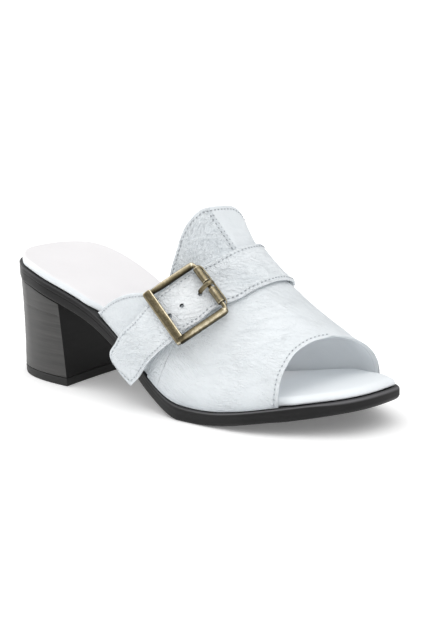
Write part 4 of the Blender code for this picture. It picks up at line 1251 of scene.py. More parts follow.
# ---------------------------------------------------------------- instep strap
STRAP_CREASES = (
    # depth, width, then (distance along, share across) points
    (0.30, 0.9, ((110.2, 0.167), (106.7, 0.25), (103.5, 0.35), (101.1, 0.433))),
    (0.32, 0.9, ((112.5, 0.233), (108.9, 0.30), (105.1, 0.383), (101.4, 0.483), (98.7, 0.583))),
    (0.30, 0.8, ((112.1, 0.333), (108.3, 0.417), (104.4, 0.50), (101.1, 0.60), (97.1, 0.667))),
    (0.34, 0.9, ((112.6, 0.433), (108.6, 0.50), (104.9, 0.583), (101.2, 0.70), (97.1, 0.75), (94.0, 0.817))),
    (0.30, 0.8, ((113.4, 0.533), (109.1, 0.60), (105.4, 0.667), (101.7, 0.783), (97.2, 0.85))),
    (0.26, 0.8, ((114.2, 0.65), (110.0, 0.667), (106.2, 0.733), (103.3, 0.85))),
    (0.20, 0.9, ((99.5, 0.383), (95.6, 0.433), (91.4, 0.467), (90.3, 0.55))),
    (0.20, 0.8, ((114.4, 0.783), (111.0, 0.783), (107.5, 0.817))),
    (0.16, 0.9, ((91.1, 0.583), (86.5, 0.533), (85.7, 0.633), (87.9, 0.733))),
    (0.24, 0.9, ((139.7, 0.117), (136.2, 0.167), (130.9, 0.217), (125.8, 0.233))),
    (0.26, 0.9, ((139.1, 0.30), (134.6, 0.333), (129.9, 0.45), (124.8, 0.583))),
    (0.28, 0.9, ((138.9, 0.50), (134.9, 0.60), (129.3, 0.717), (124.0, 0.833), (121.0, 0.90))),
    (0.24, 0.8, ((141.0, 0.633), (135.4, 0.75), (129.6, 0.85), (124.2, 0.95))),
    (0.24, 0.8, ((141.5, 0.767), (135.6, 0.867), (129.5, 0.95))),
    (0.20, 0.7, ((142.3, 0.867), (137.8, 0.92), (132.7, 0.95))),
    (0.16, 0.9, ((172.0, 0.067), (166.2, 0.217), (160.4, 0.367), (154.3, 0.55), (150.3, 0.733))),
    (0.16, 0.9, ((160.9, 0.167), (155.0, 0.30), (149.4, 0.467))),
    (0.14, 0.8, ((155.6, 0.10), (151.4, 0.30), (147.6, 0.483))),
    (0.16, 0.9, ((177.6, 0.233), (172.5, 0.383), (169.1, 0.60), (168.0, 0.75))),
    (0.14, 0.9, ((182.1, 0.317), (177.3, 0.517), (173.9, 0.717))),
)
STRAP_HOLES = ((123.5, 0.555), (134.6, 0.520), (142.5, 0.553))
STRAP_ROWS, STRAP_COLUMNS = 385, 61


def strap_at(shares, stations):
    """The strap's outer face at these shares across and this many stations along."""
    rows = []
    for v, rear, front in STRAP_ON_LAST:
        u = rear + shares * (front - rear)
        rows.append(last(u, v) + (STRAP_GAP + STRAP_WALL) * last_normal(u, v))
    free = np.array([np.array(r[:3]) + shares[:, None] * (np.array(r[3:6]) - np.array(r[:3])) for r in STRAP_FREE])
    rise = normals_of(free)
    for k, r in enumerate(STRAP_FREE):
        free[k] += (r[6] * 4 * shares * (1 - shares))[:, None] * rise[k]
    rows = np.concatenate([np.array(rows), free])
    middle = rows[:, len(shares) // 2]
    length = np.concatenate([[0], np.cumsum(np.linalg.norm(np.diff(middle, axis=0), axis=1))])
    at = np.linspace(0, length[-1], stations) if isinstance(stations, int) else stations * length[-1]
    out = np.stack(
        [np.stack([natural(list(zip(length, rows[:, j, c])), 1)(at) for c in range(3)], -1) for j in range(len(shares))], 1
    )
    return out, at


_e = np.array([0.0, 0.06, 0.16, 0.32, 0.55, 0.85, 1.2]) / 30.0
_shares = np.concatenate([_e[:-1], np.linspace(_e[-1], 1 - _e[-1], STRAP_COLUMNS - 12), (1 - _e[:-1])[::-1]])
_t = np.linspace(0, 1, STRAP_ROWS - 5)
_stations = np.concatenate([_t[:-2], 1 - np.array([1.2, 0.85, 0.55, 0.32, 0.16, 0.06, 0.0]) / 192.3])
STRAP, STRAP_RUN = strap_at(_shares, _stations)
# the front edge swells out to the buckle's side bar
_swell = 2.1 * np.exp(-(((STRAP_RUN - 130.0) / 8.5) ** 2))
_outward = STRAP[:, -1] - STRAP[:, -12]
_outward /= np.linalg.norm(_outward, axis=1, keepdims=True)
_swell = _swell[:, None] * np.clip((_shares - 0.35) / 0.65, 0, 1)[None, :] ** 1.6
STRAP = STRAP + _swell[:, :, None] * _outward[:, None, :]
STRAP_NORMAL = normals_of(STRAP)
_width = arc_lengths(STRAP, 1)
_p = np.broadcast_to(STRAP_RUN[:, None], STRAP.shape[:2])
_q = _width
_length = STRAP_RUN[-1]
_from_end = np.abs(arc_lengths(STRAP, 0)[-1] - arc_lengths(STRAP, 0))
_side = np.minimum(_width, _width[:, [-1]] - _width)
strap_relief = np.zeros(_p.shape)
strap_painted_shade = np.zeros(_p.shape)


def strap_pq(line):
    at = np.array([a for a, _ in line])
    wide = np.interp(at, STRAP_RUN, _width[:, -1])
    return np.stack([at, wide * np.array([s for _, s in line])], -1)


for _depth, _wide, _line in STRAP_CREASES:
    _pq = strap_pq(_line)
    _mark = soft_line(_p, _q, _pq, _wide)
    strap_relief -= _depth * _mark
    _d = _pq[-1] - _pq[0]
    _off = np.array([_d[1], -_d[0]]) / np.linalg.norm(_d) * 1.9 * _wide
    strap_relief += 0.3 * _depth * soft_line(_p, _q, _pq + _off, 1.1 * _wide)
    # painted shade in each crease
    strap_painted_shade += 0.30 * _depth / 0.35 * _mark
_c, _s = math.cos(math.radians(38)), math.sin(math.radians(38))
_lng, _sht = -_p * _c + _q * _s, _p * _s + _q * _c
_fine = crepe(_lng, _sht, 6.5, 2.1, 0.16, 83)
_few = crepe(_lng * 0.8 + _sht * 0.6, _sht * 0.8 - _lng * 0.6, 5.0, 2.6, 0.12, 89)
_share = np.interp(_p, [0, 60, 85, 97, 112, 118, 146, 152, 192], [0.5, 0.5, 0.75, 1.0, 1.0, 0.8, 0.8, 0.5, 0.5])
strap_relief += _share * (0.20 * _fine + 0.08 * _few) * (0.6 + 0.4 * layered(_p / 20.0, _q / 14.0, 97, 2))
strap_relief += 0.08 * layered(_p / 13.0, _q / 10.0, 103, 2)
# painted shade in the fine wrinkles' valleys
strap_painted_shade += -0.16 * _share * _fine
STRAP_ROUGH = np.interp(_p, [0, 60, 85, 97, 112, 118, 146, 152, 192], [0.5, 0.5, 0.75, 1.0, 1.0, 0.8, 0.9, 0.85, 0.85])
STRAP_ROUGH = STRAP_ROUGH * (0.85 + 0.25 * layered(_p / 18.0, _q / 12.0, 99, 2))

# stitched rows 1.8 mm in: both long edges and the free end
_rows_at = np.linspace(0, 1, 400)


def strap_row(distance_in, low, high, front):
    at = np.linspace(low, high, 240)
    i = np.interp(at, STRAP_RUN, np.arange(STRAP_ROWS))
    j = []
    for a in i:
        line = _width[int(round(a))]
        j.append(np.interp(line[-1] - distance_in if front else distance_in, line, np.arange(STRAP_COLUMNS)))
    return path_on(STRAP, STRAP_NORMAL, (i, np.array(j)))


_end_i = np.interp(_length - 1.9, STRAP_RUN, np.arange(STRAP_ROWS))
_end_w = np.interp(_length - 1.9, STRAP_RUN, _width[:, -1])
_end_line = _width[int(round(_end_i))]
_end_j = np.interp(np.linspace(1.9, _end_w - 1.9, 60), _end_line, np.arange(STRAP_COLUMNS))
STRAP_STITCHES = {
    "strap_rear": strap_row(1.8, 2.0, _length - 1.9, False),
    "strap_front": strap_row(1.8, 2.0, _length - 1.9, True),
    "strap_end": path_on(STRAP, STRAP_NORMAL, (np.full(60, _end_i), _end_j)),
}
for _path, _ in STRAP_STITCHES.values():
    _r, _k = drawn_by(STRAP, _path)
    strap_relief += _r
    strap_painted_shade += _k
_edge = np.minimum(_side, _from_end)
strap_relief *= np.clip(_edge / 1.3, 0.1, 1)
_round = round_off(_edge, 0.38)
_out = STRAP + (strap_relief - _round)[..., None] * STRAP_NORMAL
# towards the toes the strap is skived thin, and stands a little off the vamp
_toward = np.clip((_width / _width[:, [-1]] - 0.45) / 0.4, 0, 1)
_wall = STRAP_WALL * (1 - 0.34 * _toward)
_in = STRAP - (_wall - np.minimum(_round, 0.6))[..., None] * STRAP_NORMAL
for _g in (_out, _in):
    _floor = np.where(_g[..., 1] > 0, feather(_g[..., 0]) + GAP, -1e9)
    _g[..., 2] = np.maximum(_g[..., 2], _floor)
_points, _faces, _need = shell(_out, _in, 4)
strap = piece(
    "strap",
    _points,
    _faces,
    WHITE,
    "white_leather",
    ["instep_strap"],
    smooth=80.0,
    marks={
        "mm": both(np.stack([_p, _q, 0 * _p + 40.0], -1), _need),
        "flow": both(np.stack([_lng, _sht, 0 * _p + 50.0], -1), _need),
        "rough": both(STRAP_ROUGH, _need),
        # painted shade in creases, stitch channels and holes, and more of it towards the free end
        "painted_shade_and_dark_line": both(np.clip(strap_painted_shade + 0.16 * np.clip((_p - 162.0) / 15.0, 0, 1), 0, 1), _need),
        # painted light: the strap is lightened inside the buckle
        "painted_light": both(0.6 * np.exp(-(((_p - 131.0) / 11.0) ** 2)), _need),
    },
)
for _name, (_path, _n) in STRAP_STITCHES.items():
    # the end row takes the paler, painted-light thread
    if _name == "strap_end":
        stitch_row("stitches_" + _name, _path, _n, pitch=PITCH, finish=LIT_THREAD)
    else:
        # grey thread over the instep; beyond the buckle, on the more brightly lit half, a paler copy of it stands in as
        # painted light
        _cut = int(len(_path) * 0.62)
        stitch_row("stitches_" + _name + "_over", _path[:_cut], _n[:_cut], pitch=PITCH)
        stitch_row("stitches_" + _name + "_free", _path[_cut - 1 :], _n[_cut - 1 :], pitch=PITCH, finish=LIT_THREAD)


def drill(target, places, radius):
    """Punches round holes through a piece, square to it."""
    for number, (at, share) in enumerate(places):
        i = np.interp(at, STRAP_RUN, np.arange(STRAP_ROWS))
        line = _width[int(round(i))]
        j = np.interp(share * line[-1], line, np.arange(STRAP_COLUMNS))
        centre, normal = path_on(STRAP, STRAP_NORMAL, (np.array([i]), np.array([j])))
        n = Vector(normal[0])
        bm = bmesh.new()
        bmesh.ops.create_cone(
            bm, cap_ends=True, segments=24, radius1=radius * 0.001, radius2=radius * 0.001, depth=0.008,
            matrix=Matrix.Translation(Vector(to_row(centre[0]))) @ n.to_track_quat("Z", "Y").to_matrix().to_4x4(),
        )
        mesh = bpy.data.meshes.new("punch")
        bm.to_mesh(mesh)
        bm.free()
        mesh.materials.append(HOLE_SHADE)
        tool = bpy.data.objects.new(f"punch_{number}", mesh)
        bpy.context.scene.collection.objects.link(tool)
        cut = target.modifiers.new("cut", "BOOLEAN")
        cut.operation = "DIFFERENCE"
        cut.solver = "EXACT"
        cut.material_mode = "TRANSFER"
        cut.object = tool
        bpy.context.view_layer.update()
        done = bpy.data.meshes.new_from_object(target.evaluated_get(bpy.context.evaluated_depsgraph_get()))
        target.modifiers.clear()
        target.data = done
        bpy.data.objects.remove(tool)


# the punched holes' walls are near-black: painted shade inside the holes
HOLE_SHADE = smooth_leather("hole_wall_painted_shade", (0.10, 0.10, 0.10), (0.05, 0.05, 0.05), (0.6, 0.8))
drill(strap, STRAP_HOLES, 1.05)


# ---------------------------------------------------------------- quarter panel
PANEL_ROWS, PANEL_COLUMNS = 67, 109
_pv = np.linspace(0.0, 0.40, PANEL_ROWS)
_pu = _rear(_pv)
_edge_n = last_normal(_pu, _pv)
_edge_t = last(_pu + 0.01, _pv) - last(_pu, _pv)
_edge_t /= np.linalg.norm(_edge_t, axis=1, keepdims=True)
_edge = last(_pu, _pv) - 0.7 * _edge_t - 1.0 * _edge_n
_top_points = list(PANEL_TOP) + [tuple(_edge[-1])]
_top_run = np.concatenate([[0], np.cumsum(np.linalg.norm(np.diff(np.array(_top_points), axis=0), axis=1))])
_a = np.linspace(0, 1, PANEL_COLUMNS)
_top = np.stack([natural(list(zip(_top_run, [p[c] for p in _top_points])), 1)(_a * _top_run[-1]) for c in range(3)], -1)
_bx = 79.6 + _a * (_edge[0, 0] - 79.6)
_bottom = np.stack([_bx, -(lateral(_bx) - UPPER_INSET + 1.2 * np.sin(math.pi * _a) + 0.2 * _a), feather(_bx) + GAP + 0.05], -1)
_bottom[-1] = _edge[0]
_t1 = np.linspace(0, 1, PANEL_ROWS)
_chord = _edge[0] + _t1[:, None] * (_edge[-1] - _edge[0])
_bulge = _edge - _chord
_share = np.linalg.norm(_top - _bottom, axis=1) / np.linalg.norm(_edge[-1] - _edge[0])
PANEL = _bottom[:, None] + _t1[None, :, None] * (_top - _bottom)[:, None] + (_share * _a)[:, None, None] * _bulge[None]
PANEL_NORMAL = normals_of(PANEL)
_p, _up = arc_lengths(PANEL, 0), arc_lengths(PANEL, 1)
_down = _up[:, [-1]] - _up
_relief = 0.10 * crepe(_p * 0.8 + _up * 0.6, _up * 0.8 - _p * 0.6, 6.0, 2.4, 0.14, 113)
# painted shade in the wrinkles' valleys
_panel_painted_shade = -1.0 * _relief
_relief += 0.08 * layered(_p / 13.0, _up / 10.0, 119, 2)
_i = np.linspace(1.5, PANEL_COLUMNS - 3, 120)
_j = np.array([np.interp(1.9, _down[int(round(i))][::-1], np.arange(PANEL_ROWS)[::-1]) for i in _i])
_keep = _j > 2
_panel_path = path_on(PANEL, PANEL_NORMAL, (_i[_keep], _j[_keep]))
_r, _k = drawn_by(PANEL, _panel_path[0])
_relief += _r
_panel_painted_shade += _k
_near = np.minimum(_down, _p)
_relief *= np.clip(_near / 1.2, 0.1, 1)
_round = round_off(_down, 0.35)
_points, _faces, _need = shell(
    over_sole(PANEL + (_relief - _round)[..., None] * PANEL_NORMAL, 0.02),
    over_sole(PANEL - (PANEL_WALL - np.minimum(_round, 0.4))[..., None] * PANEL_NORMAL),
    3,
)
panel = piece(
    "quarter",
    _points,
    _faces,
    WHITE,
    "white_leather",
    ["quarter_panel"],
    smooth=75.0,
    marks={
        "mm": both(np.stack([_p + 60.0, _up, 0 * _p + 20.0], -1), _need),
        "flow": both(np.stack([_p * 0.8 + _up * 0.6, _up * 0.8 - _p * 0.6, 0 * _p + 70.0], -1), _need),
        "rough": both(0.45 + 0 * _p, _need),
        # painted shade: the whole panel is darkened a little
        "painted_shade_and_dark_line": both(np.clip(_panel_painted_shade + 0.12, 0, 1), _need),
    },
)
# the quarter's row takes the paler, painted-light thread
stitch_row("stitches_quarter", *_panel_path, pitch=PITCH, finish=LIT_THREAD)


# ---------------------------------------------------------------- footbed
def flat_ring(inset):
    return plan(inset if callable(inset) else (lambda x, side: np.full(len(x), float(inset))))


def across_strips(ring, count):
    """Rows of points from the lateral half of a ring to its medial half, heel to toe."""
    half = RING // 2
    lat = ring[1:half]
    med = ring[half + 1 :][::-1]
    s = np.linspace(0, 1, count)
    return lat[:, None] + s[None, :, None] * (med - lat)[:, None]


def padded_loft(rings, inside, count, under=3):
    """Points and faces: rings going up, then a field of strips inside the last ring, and
    strips that close the first one. inside(grid) moves the top field's inner points."""
    n = RING
    points = [np.concatenate(rings)]
    faces = []
    for k in range(len(rings) - 1):
        for i in range(n):
            j = (i + 1) % n
            faces.append([k * n + i, k * n + j, (k + 1) * n + j, (k + 1) * n + i])
    for which, base in ((0, 0), (1, (len(rings) - 1) * n)):
        ring = rings[0] if which == 0 else rings[-1]
        many = under if which == 0 else count
        grid = across_strips(ring, many)
        grid = inside(grid, which)
        start = sum(len(p) for p in points)
        inner = grid[:, 1:-1].reshape(-1, 3)
        points.append(inner)
        m = len(grid)

        def at(i, j, base=base, start=start, many=many):
            if j == 0:
                return base + 1 + i
            if j == many - 1:
                return base + n - 1 - i
            return start + i * (many - 2) + j - 1

        for i in range(m - 1):
            for j in range(many - 1):
                faces.append([at(i, j), at(i + 1, j), at(i + 1, j + 1), at(i, j + 1)])
        for j in range(many - 1):
            faces.append([base, at(0, j), at(0, j + 1)])
            faces.append([base + n // 2, at(m - 1, j + 1), at(m - 1, j)])
    return np.concatenate(points), faces


def footbed_inset(x, side):
    """The footbed's edge: nearly flush at heel and toe, inside the upper between them."""
    lat = monotone([0, 6, 30, 69, 79, 203, 209, 240], [2.3, 2.1, 1.3, 1.3, 4.4, 4.4, 2.4, 2.4])(x)
    med = monotone([0, 6, 30, 82, 98, 115, 152, 165, 216, 229, 240], [2.3, 2.1, 1.3, 1.3, 4.2, 6.4, 6.4, 4.5, 4.5, 2.4, 2.4])(x)
    return np.where(np.asarray(side) < 0, lat, med)


_toe = monotone([0, 195, 215, 240], [0.0, 0.0, 1.0, 1.0])
_rings = []
# the pad's edge in section: share of the roll's width and of its height
for _w, _h in (
    (0.55, 0.00), (0.16, 0.03), (0.0, 0.12), (-0.04, 0.26), (0.0, 0.40), (0.10, 0.54),
    (0.24, 0.67), (0.42, 0.79), (0.62, 0.885), (0.82, 0.955), (1.02, 0.99), (1.25, 1.0),
):
    _rings.append(
        np.column_stack(
            [
                _flat := flat_ring(lambda x, s, w=_w: footbed_inset(x, s) + w * (1.5 + 1.5 * _toe(x))),
                feather(_flat[:, 0]) + GAP + _h * (INSOLE - GAP),
            ]
        )
    )


def footbed_field(grid, which):
    if which == 0:
        return grid
    s = np.linspace(0, 1, grid.shape[1])[None, :]
    width = np.linalg.norm(grid[:, -1] - grid[:, 0], axis=1)[:, None]
    bulge = np.clip(width / 40.0, 0, 1) * (4 * s * (1 - s)) ** 0.6
    x, y = grid[..., 0], grid[..., 1]
    heel = np.exp(-(((x - 30) / 26.0) ** 2))
    ball = np.exp(-(((x - 168) / 30.0) ** 2))
    lift = 0.35 * bulge - 0.75 * heel * bulge - 0.35 * ball * bulge
    lift = lift + 0.10 * bulge * layered(x / 24.0, y / 18.0, 131, 2)
    out = grid.copy()
    out[..., 2] = feather(x) + INSOLE + lift
    return out


_points, _faces = padded_loft(_rings, footbed_field, 61)
_above = _points[:, 2] - feather(_points[:, 0])
_tone = np.clip(np.maximum((INSOLE - 0.25 - _above) / 0.5, (_points[:, 0] - 150) / 25.0), 0, 1)
_tone[len(_rings) * RING :] = np.clip((_points[len(_rings) * RING :, 0] - 150) / 25.0, 0, 1)
footbed = piece(
    "footbed",
    _points,
    _faces,
    FOOTBED,
    "insole_leather",
    ["insole"],
    smooth=180.0,
    marks={"mm": _points * [1, 1, 0], "painted_shade_and_dark_line": np.zeros(len(_points)), "tone": _tone},
)


# ---------------------------------------------------------------- sole
def groove(x):
    """The line between welt and sole: plain at heel and waist, all but closed at the tread."""
    return 0.06 + 0.22 / (1 + np.exp((x - 118.0) / 10.0))


def level(which, share=0.0):
    joint = lambda x: feather(x) - WELT
    return {
        "under": underside,
        "middle": lambda x: underside(x) + share * (joint(x) - underside(x)),
        "joint": joint,
        "seat": feather,
    }[which]


def toe_end(x):
    """0 along the sole, 1 round the very front, where its edges are more rounded."""
    t = np.clip((np.asarray(x, float) - 212) / 20.0, 0, 1)
    return t * t * (3 - 2 * t)


# the tread's lateral edge lifts a little between the ball and the toe
_edge_lift = monotone(
    [0, 154, 161.5, 165.5, 169, 177.5, 183, 188.5, 196, 206, 240], [0, 0, 0.5, 1.0, 1.4, 1.3, 1.1, 0.7, 0.5, 0, 0]
)
_rings, _painted_highlight = [], []
# inset, level, share, height over the level; then inset and height round the toe
for _inset, _where, _share, _extra, _front, _rise in (
    (3.2, "under", 0, 0.0, 4.4, 0.0), (1.9, "under", 0, 0.0, 3.2, 0.05), (1.25, "under", 0, 0.05, 2.35, 0.22),
    (0.75, "under", 0, 0.22, 1.6, 0.55), (0.38, "under", 0, 0.50, 0.95, 1.0), (0.14, "under", 0, 0.95, 0.45, 1.55),
    (0.03, "under", 0, 1.5, 0.15, 2.1),
    (0.05, "middle", 0.5, 0.2, 0.06, 0.5), (0.10, "joint", 0, -0.75, 0.08, -0.75), (0.10, "joint", 0, -0.42, 0.08, -0.42),
    (groove, "joint", 0, -0.16, groove, -0.16), (groove, "joint", 0, 0.02, groove, 0.02),
    (0.06, "joint", 0, 0.24, 0.05, 0.24), (0.02, "joint", 0, 0.6, 0.02, 0.6),
    (0.10, "seat", 0, -1.55, 0.06, -2.25), (0.14, "seat", 0, -1.25, 0.05, -2.10), (0.06, "seat", 0, -1.02, 0.03, -1.95),
    (0.0, "seat", 0, -0.82, 0.0, -1.75), (0.02, "seat", 0, -0.58, 0.14, -1.20), (0.12, "seat", 0, -0.36, 0.42, -0.74),
    (0.28, "seat", 0, -0.19, 0.80, -0.38), (0.50, "seat", 0, -0.08, 1.20, -0.16), (0.75, "seat", 0, -0.06, 1.45, -0.08),
    (0.95, "seat", 0, -0.14, 1.60, -0.10), (1.25, "seat", 0, -0.16, 1.85, -0.14), (1.7, "seat", 0, -0.10, 2.15, -0.10),
):
    if _inset is groove:
        _flat = flat_ring(lambda x, s: groove(x))
    else:
        _flat = flat_ring(lambda x, s, a=_inset, b=_front: a + (b - a) * toe_end(x))
    _up = _edge_lift(_flat[:, 0]) * np.clip(-_flat[:, 1] / 25.0, 0, 1)
    _up = _up * {"under": 0.5 if _extra + _inset > 3 else 0.8 if _inset > 1.5 else 1.0, "middle": 0.5}.get(_where, 0.0) if _inset is not groove else 0.0
    _rings.append(np.column_stack([_flat, level(_where, _share)(_flat[:, 0]) + _extra + (_rise - _extra) * toe_end(_flat[:, 0]) + _up]))
    # painted highlight on the rings just below the welt's top edge
    _painted_highlight.append(np.full(RING, math.exp(-(((_extra + 0.42) / 0.30) ** 2)) if _where == "seat" else 0.0))


def tread_field(grid, which):
    """Shallow ribs pressed up into the tread and a smooth waist."""
    if which == 1:
        return grid
    x, y = grid[..., 0], grid[..., 1]
    inside = np.clip(4 * np.linspace(0, 1, grid.shape[1]) * (1 - np.linspace(0, 1, grid.shape[1])) * 3, 0, 1)[None, :]
    tread = 1 / (1 + np.exp((130 - x) / 3.0)) / (1 + np.exp((x - 212) / 3.0))
    ribs = np.clip(np.sin(2 * math.pi * (x + 0.02 * (y - 3) ** 2) / 7.5) * 2.0, -1, 1)
    out = grid.copy()
    out[..., 2] = underside(x) + 0.28 * tread * inside * (0.5 + 0.5 * ribs)
    return out


_points, _faces = padded_loft(_rings, tread_field, 5, 41)
_painted_highlight = np.concatenate(_painted_highlight + [np.zeros(len(_points) - RING * len(_rings))])
# the painted highlight line shows mostly along the tread
_painted_highlight *= 0.35 + 0.65 / (1 + np.exp((150 - _points[:, 0]) / 12.0))
sole = piece("sole", _points, _faces, SOLE_FINISH, "black_sole", ["outsole", "midsole"], smooth=180.0, marks={"painted_highlight": _painted_highlight})


# ---------------------------------------------------------------- heel
_shares = np.concatenate([[0.0, 0.004, 0.012, 0.03], np.linspace(0.05, 0.95, 64), [0.97, 0.985, 0.995, 1.0]])
_rings, _marks = [], []
_middle = np.array([30.0, 0.0])
for _k, _s in enumerate(_shares):
    _ring = heel_ring(_s, None)
    _z = _ring[:, 2]
    _back = _ring[:, 0] < 49.5
    _line = np.abs(_z - (43.2 - 0.075 * _ring[:, 0]))
    _dark = np.exp(-((_line / 0.45) ** 2)) * _back
    # thin layers stand a hair apart, and both ends are eased
    _layer = 0.05 * noise2(_ring[:, 1] / 40.0, _z / 1.7, 141) + 0.04 * noise2(_ring[:, 0] / 30.0, _z / 0.9, 143)
    _end = 0.35 * np.exp(-_s * 300) + 0.35 * np.exp(-(1 - _s) * 300)
    _draw = (0.28 * _dark + _end + 0.05 + _layer) / 30.0
    _ring = _ring.copy()
    _ring[:, :2] += (_middle - _ring[:, :2]) * _draw[:, None]
    _rings.append(_ring)
    _marks.append(0.85 * _dark)
_n = len(_rings[0])
_points = np.concatenate(_rings)
_faces = [
    [k * _n + i, k * _n + (i + 1) % _n, (k + 1) * _n + (i + 1) % _n, (k + 1) * _n + i]
    for k in range(len(_rings) - 1)
    for i in range(_n)
]


def cap(base, n, reverse):
    """Closes a ring with strips from the lateral half to the medial one."""
    out = [[base, base + 1, base + n - 1]]
    for i in range(1, n // 2 - 1):
        out.append([base + i, base + i + 1, base + n - i - 1, base + n - i])
    out.append([base + n // 2 - 1, base + n // 2, base + n // 2 + 1])
    return out


_faces += cap(0, _n, True) + cap((len(_rings) - 1) * _n, _n, False)
heel = piece(
    "heel",
    _points,
    _faces,
    STACK,
    "stacked_heel",
    ["heel_block"],
    smooth=35.0,
    marks={"painted_shade_and_dark_line": np.concatenate(_marks)},
    second=(BREAST_FINISH, lambda c, n: n[0] > 0.8),
)
_foot = heel_ring(0.0, 0.0)
_rings = []
for _draw, _z in ((0.045, 0.0), (0.022, 0.05), (0.010, 0.3), (0.004, 0.7), (0.0, 1.2), (0.0, 2.5), (0.0, 3.9), (0.004, 4.3), (0.012, TOP_PIECE)):
    _ring = _foot.copy()
    _ring[:, :2] += (_middle - _ring[:, :2]) * _draw
    _ring[:, 2] = _z
    _rings.append(_ring)
_points = np.concatenate(_rings)
_faces = [
    [k * _n + i, k * _n + (i + 1) % _n, (k + 1) * _n + (i + 1) % _n, (k + 1) * _n + i]
    for k in range(len(_rings) - 1)
    for i in range(_n)
] + cap(0, _n, True) + cap((len(_rings) - 1) * _n, _n, False)
top_piece = piece("heel_tip", _points, _faces, RUBBER, "heel_rubber", ["heel_top_piece"], smooth=35.0)


# ---------------------------------------------------------------- buckle
_centre = np.array(BUCKLE_AT)
_along = np.array(BUCKLE_ALONG) / np.linalg.norm(BUCKLE_ALONG)
_face = np.array(BUCKLE_FACE)
_face = _face - _along * (_face @ _along)
_face /= np.linalg.norm(_face)
_over = np.cross(_face, _along)  # across the strap, towards the tongue


def section_of(corners, soften=0.12, steps=3):
    """A section polygon whose corners are cut back and rounded a little."""
    corners = np.asarray(corners, float)
    out = []
    for k, c in enumerate(corners):
        before, after = corners[k - 1] - c, corners[(k + 1) % len(corners)] - c
        a = c + before * min(soften / np.linalg.norm(before), 0.4)
        b = c + after * min(soften / np.linalg.norm(after), 0.4)
        for t in np.linspace(0, 1, steps):
            out.append((1 - t) ** 2 * a + 2 * t * (1 - t) * c + t * t * b)
    return np.array(out)


BAR = section_of(((1.0, -0.62), (1.0, 0.42), (0.55, 0.98), (-0.55, 0.98), (-1.0, 0.42), (-1.0, -0.62), (-0.6, -1.0), (0.6, -1.0)))


LOWER = 1.3  # the lower corner by the sleeves stands out a little further than the upper


def frame_line():
    """The frame's centre line from one end of the wide bar round to the other."""
    points, rights, widths, heights = [], [], [], []
    r = BUCKLE_CORNER
    near, far = BUCKLE_HALF_ALONG, BUCKLE_HALF_ALONG + BUCKLE_FLARE[0]
    low, high = BUCKLE_HALF_ACROSS, BUCKLE_HALF_ACROSS + BUCKLE_FLARE[1]
    # lower side bar, round bar, upper side bar
    for f in np.linspace(0, 1, 26)[:-1]:
        points.append((-far + f * (near - r + far), -high + f * (high - low - LOWER)))
        rights.append((0.0, -1.0))
    for d in np.linspace(-90, 0, 12)[:-1]:
        a = math.radians(d)
        points.append((near - r + r * math.cos(a), -low - LOWER + r + r * math.sin(a)))
        rights.append((math.cos(a), math.sin(a)))
    for f in np.linspace(0, 1, 40)[:-1]:
        points.append((near, -(low + LOWER - r) + f * (2 * (low - r) + LOWER)))
        rights.append((1.0, 0.0))
    for d in np.linspace(0, 90, 12)[:-1]:
        a = math.radians(d)
        points.append((near - r + r * math.cos(a), low - r + r * math.sin(a)))
        rights.append((math.cos(a), math.sin(a)))
    for f in np.linspace(0, 1, 26):
        points.append((near - r - f * (near - r + far), low + f * (high - low)))
        rights.append((0.0, 1.0))
    return np.array(points), np.array(rights)


_p, _r = frame_line()
_round_bar = np.clip((_r[:, 0] - 0.55) / 0.35, 0, 1)
_knuckle = np.exp(-(((_r[:, 0] - 0.6) / 0.28) ** 2))
_lower_bar = np.clip(-_r[:, 1], 0, 1)
_wide = 1.58 + 0.30 * _lower_bar + 0.16 * _knuckle - (1.58 + 0.30 * _lower_bar - BAR_RADIUS) * _round_bar
_high = 1.74 + 0.26 * _lower_bar + 0.10 * _knuckle - (1.74 + 0.26 * _lower_bar - BAR_RADIUS) * _round_bar
# the side bar towards the tongue is drawn thin where it meets the wide bar
_neck = np.clip((np.arange(len(_p)) - (len(_p) - 9)) / 8.0, 0, 1)
_wide, _high = _wide * (1 - 0.36 * _neck), _high * (1 - 0.30 * _neck)
_circle = np.array([(math.cos(t), math.sin(t)) for t in (np.linspace(0, 2 * math.pi, len(BAR), endpoint=False) - 0.45)])
_centres = np.array([_centre + a * _along + b * _over for a, b in _p])
_rights = np.array([a * _along + b * _over for a, b in _r])
_ups = np.array([_face] * len(_p))
_points = []
_wear_and_light = []
for _k in range(len(_p)):
    _sec = BAR * (1 - _round_bar[_k]) + _circle * _round_bar[_k]
    # the side bars are a little deeper than they are wide
    _deep = 0.20 * (1 - _round_bar[_k])
    _points.append(_centres[_k] + _sec[:, :1] * _wide[_k] * _rights[_k] + (_sec[:, 1:] * _high[_k] - _deep) * _ups[_k])
    # painted light and shade: each bar is lighter on top and darker underneath
    _lit_and_rubbed = 0.24 + 0.24 * np.clip(_sec[:, 1], -0.8, 1)
    # painted highlight along the bevel's top ridge
    _ridge_highlight = np.exp(-(((_sec[:, 0] - 0.55) / 0.22) ** 2)) * (_sec[:, 1] > 0.6)
    # patina and painted shade darken the corners with the wide bar; painted shade darkens the bars' inner sides
    _joint = 0.45 * np.exp(-(min(_k, len(_p) - 1 - _k) / 4.5) ** 2)
    _inner_shade = 0.30 * np.clip(-_sec[:, 0] - 0.5, 0, 0.5) * 2 * (1 - _round_bar[_k])
    # the knuckles' tops get a painted highlight
    _wear_and_light.append(_lit_and_rubbed + 0.50 * _ridge_highlight + 0.34 * _knuckle[_k] * (_sec[:, 1] > 0) - _joint - _inner_shade)
_side_count = len(BAR)
_faces = []
for _k in range(len(_p) - 1):
    for _i in range(_side_count):
        _j = (_i + 1) % _side_count
        _faces.append([_k * _side_count + _i, _k * _side_count + _j, (_k + 1) * _side_count + _j, (_k + 1) * _side_count + _i])
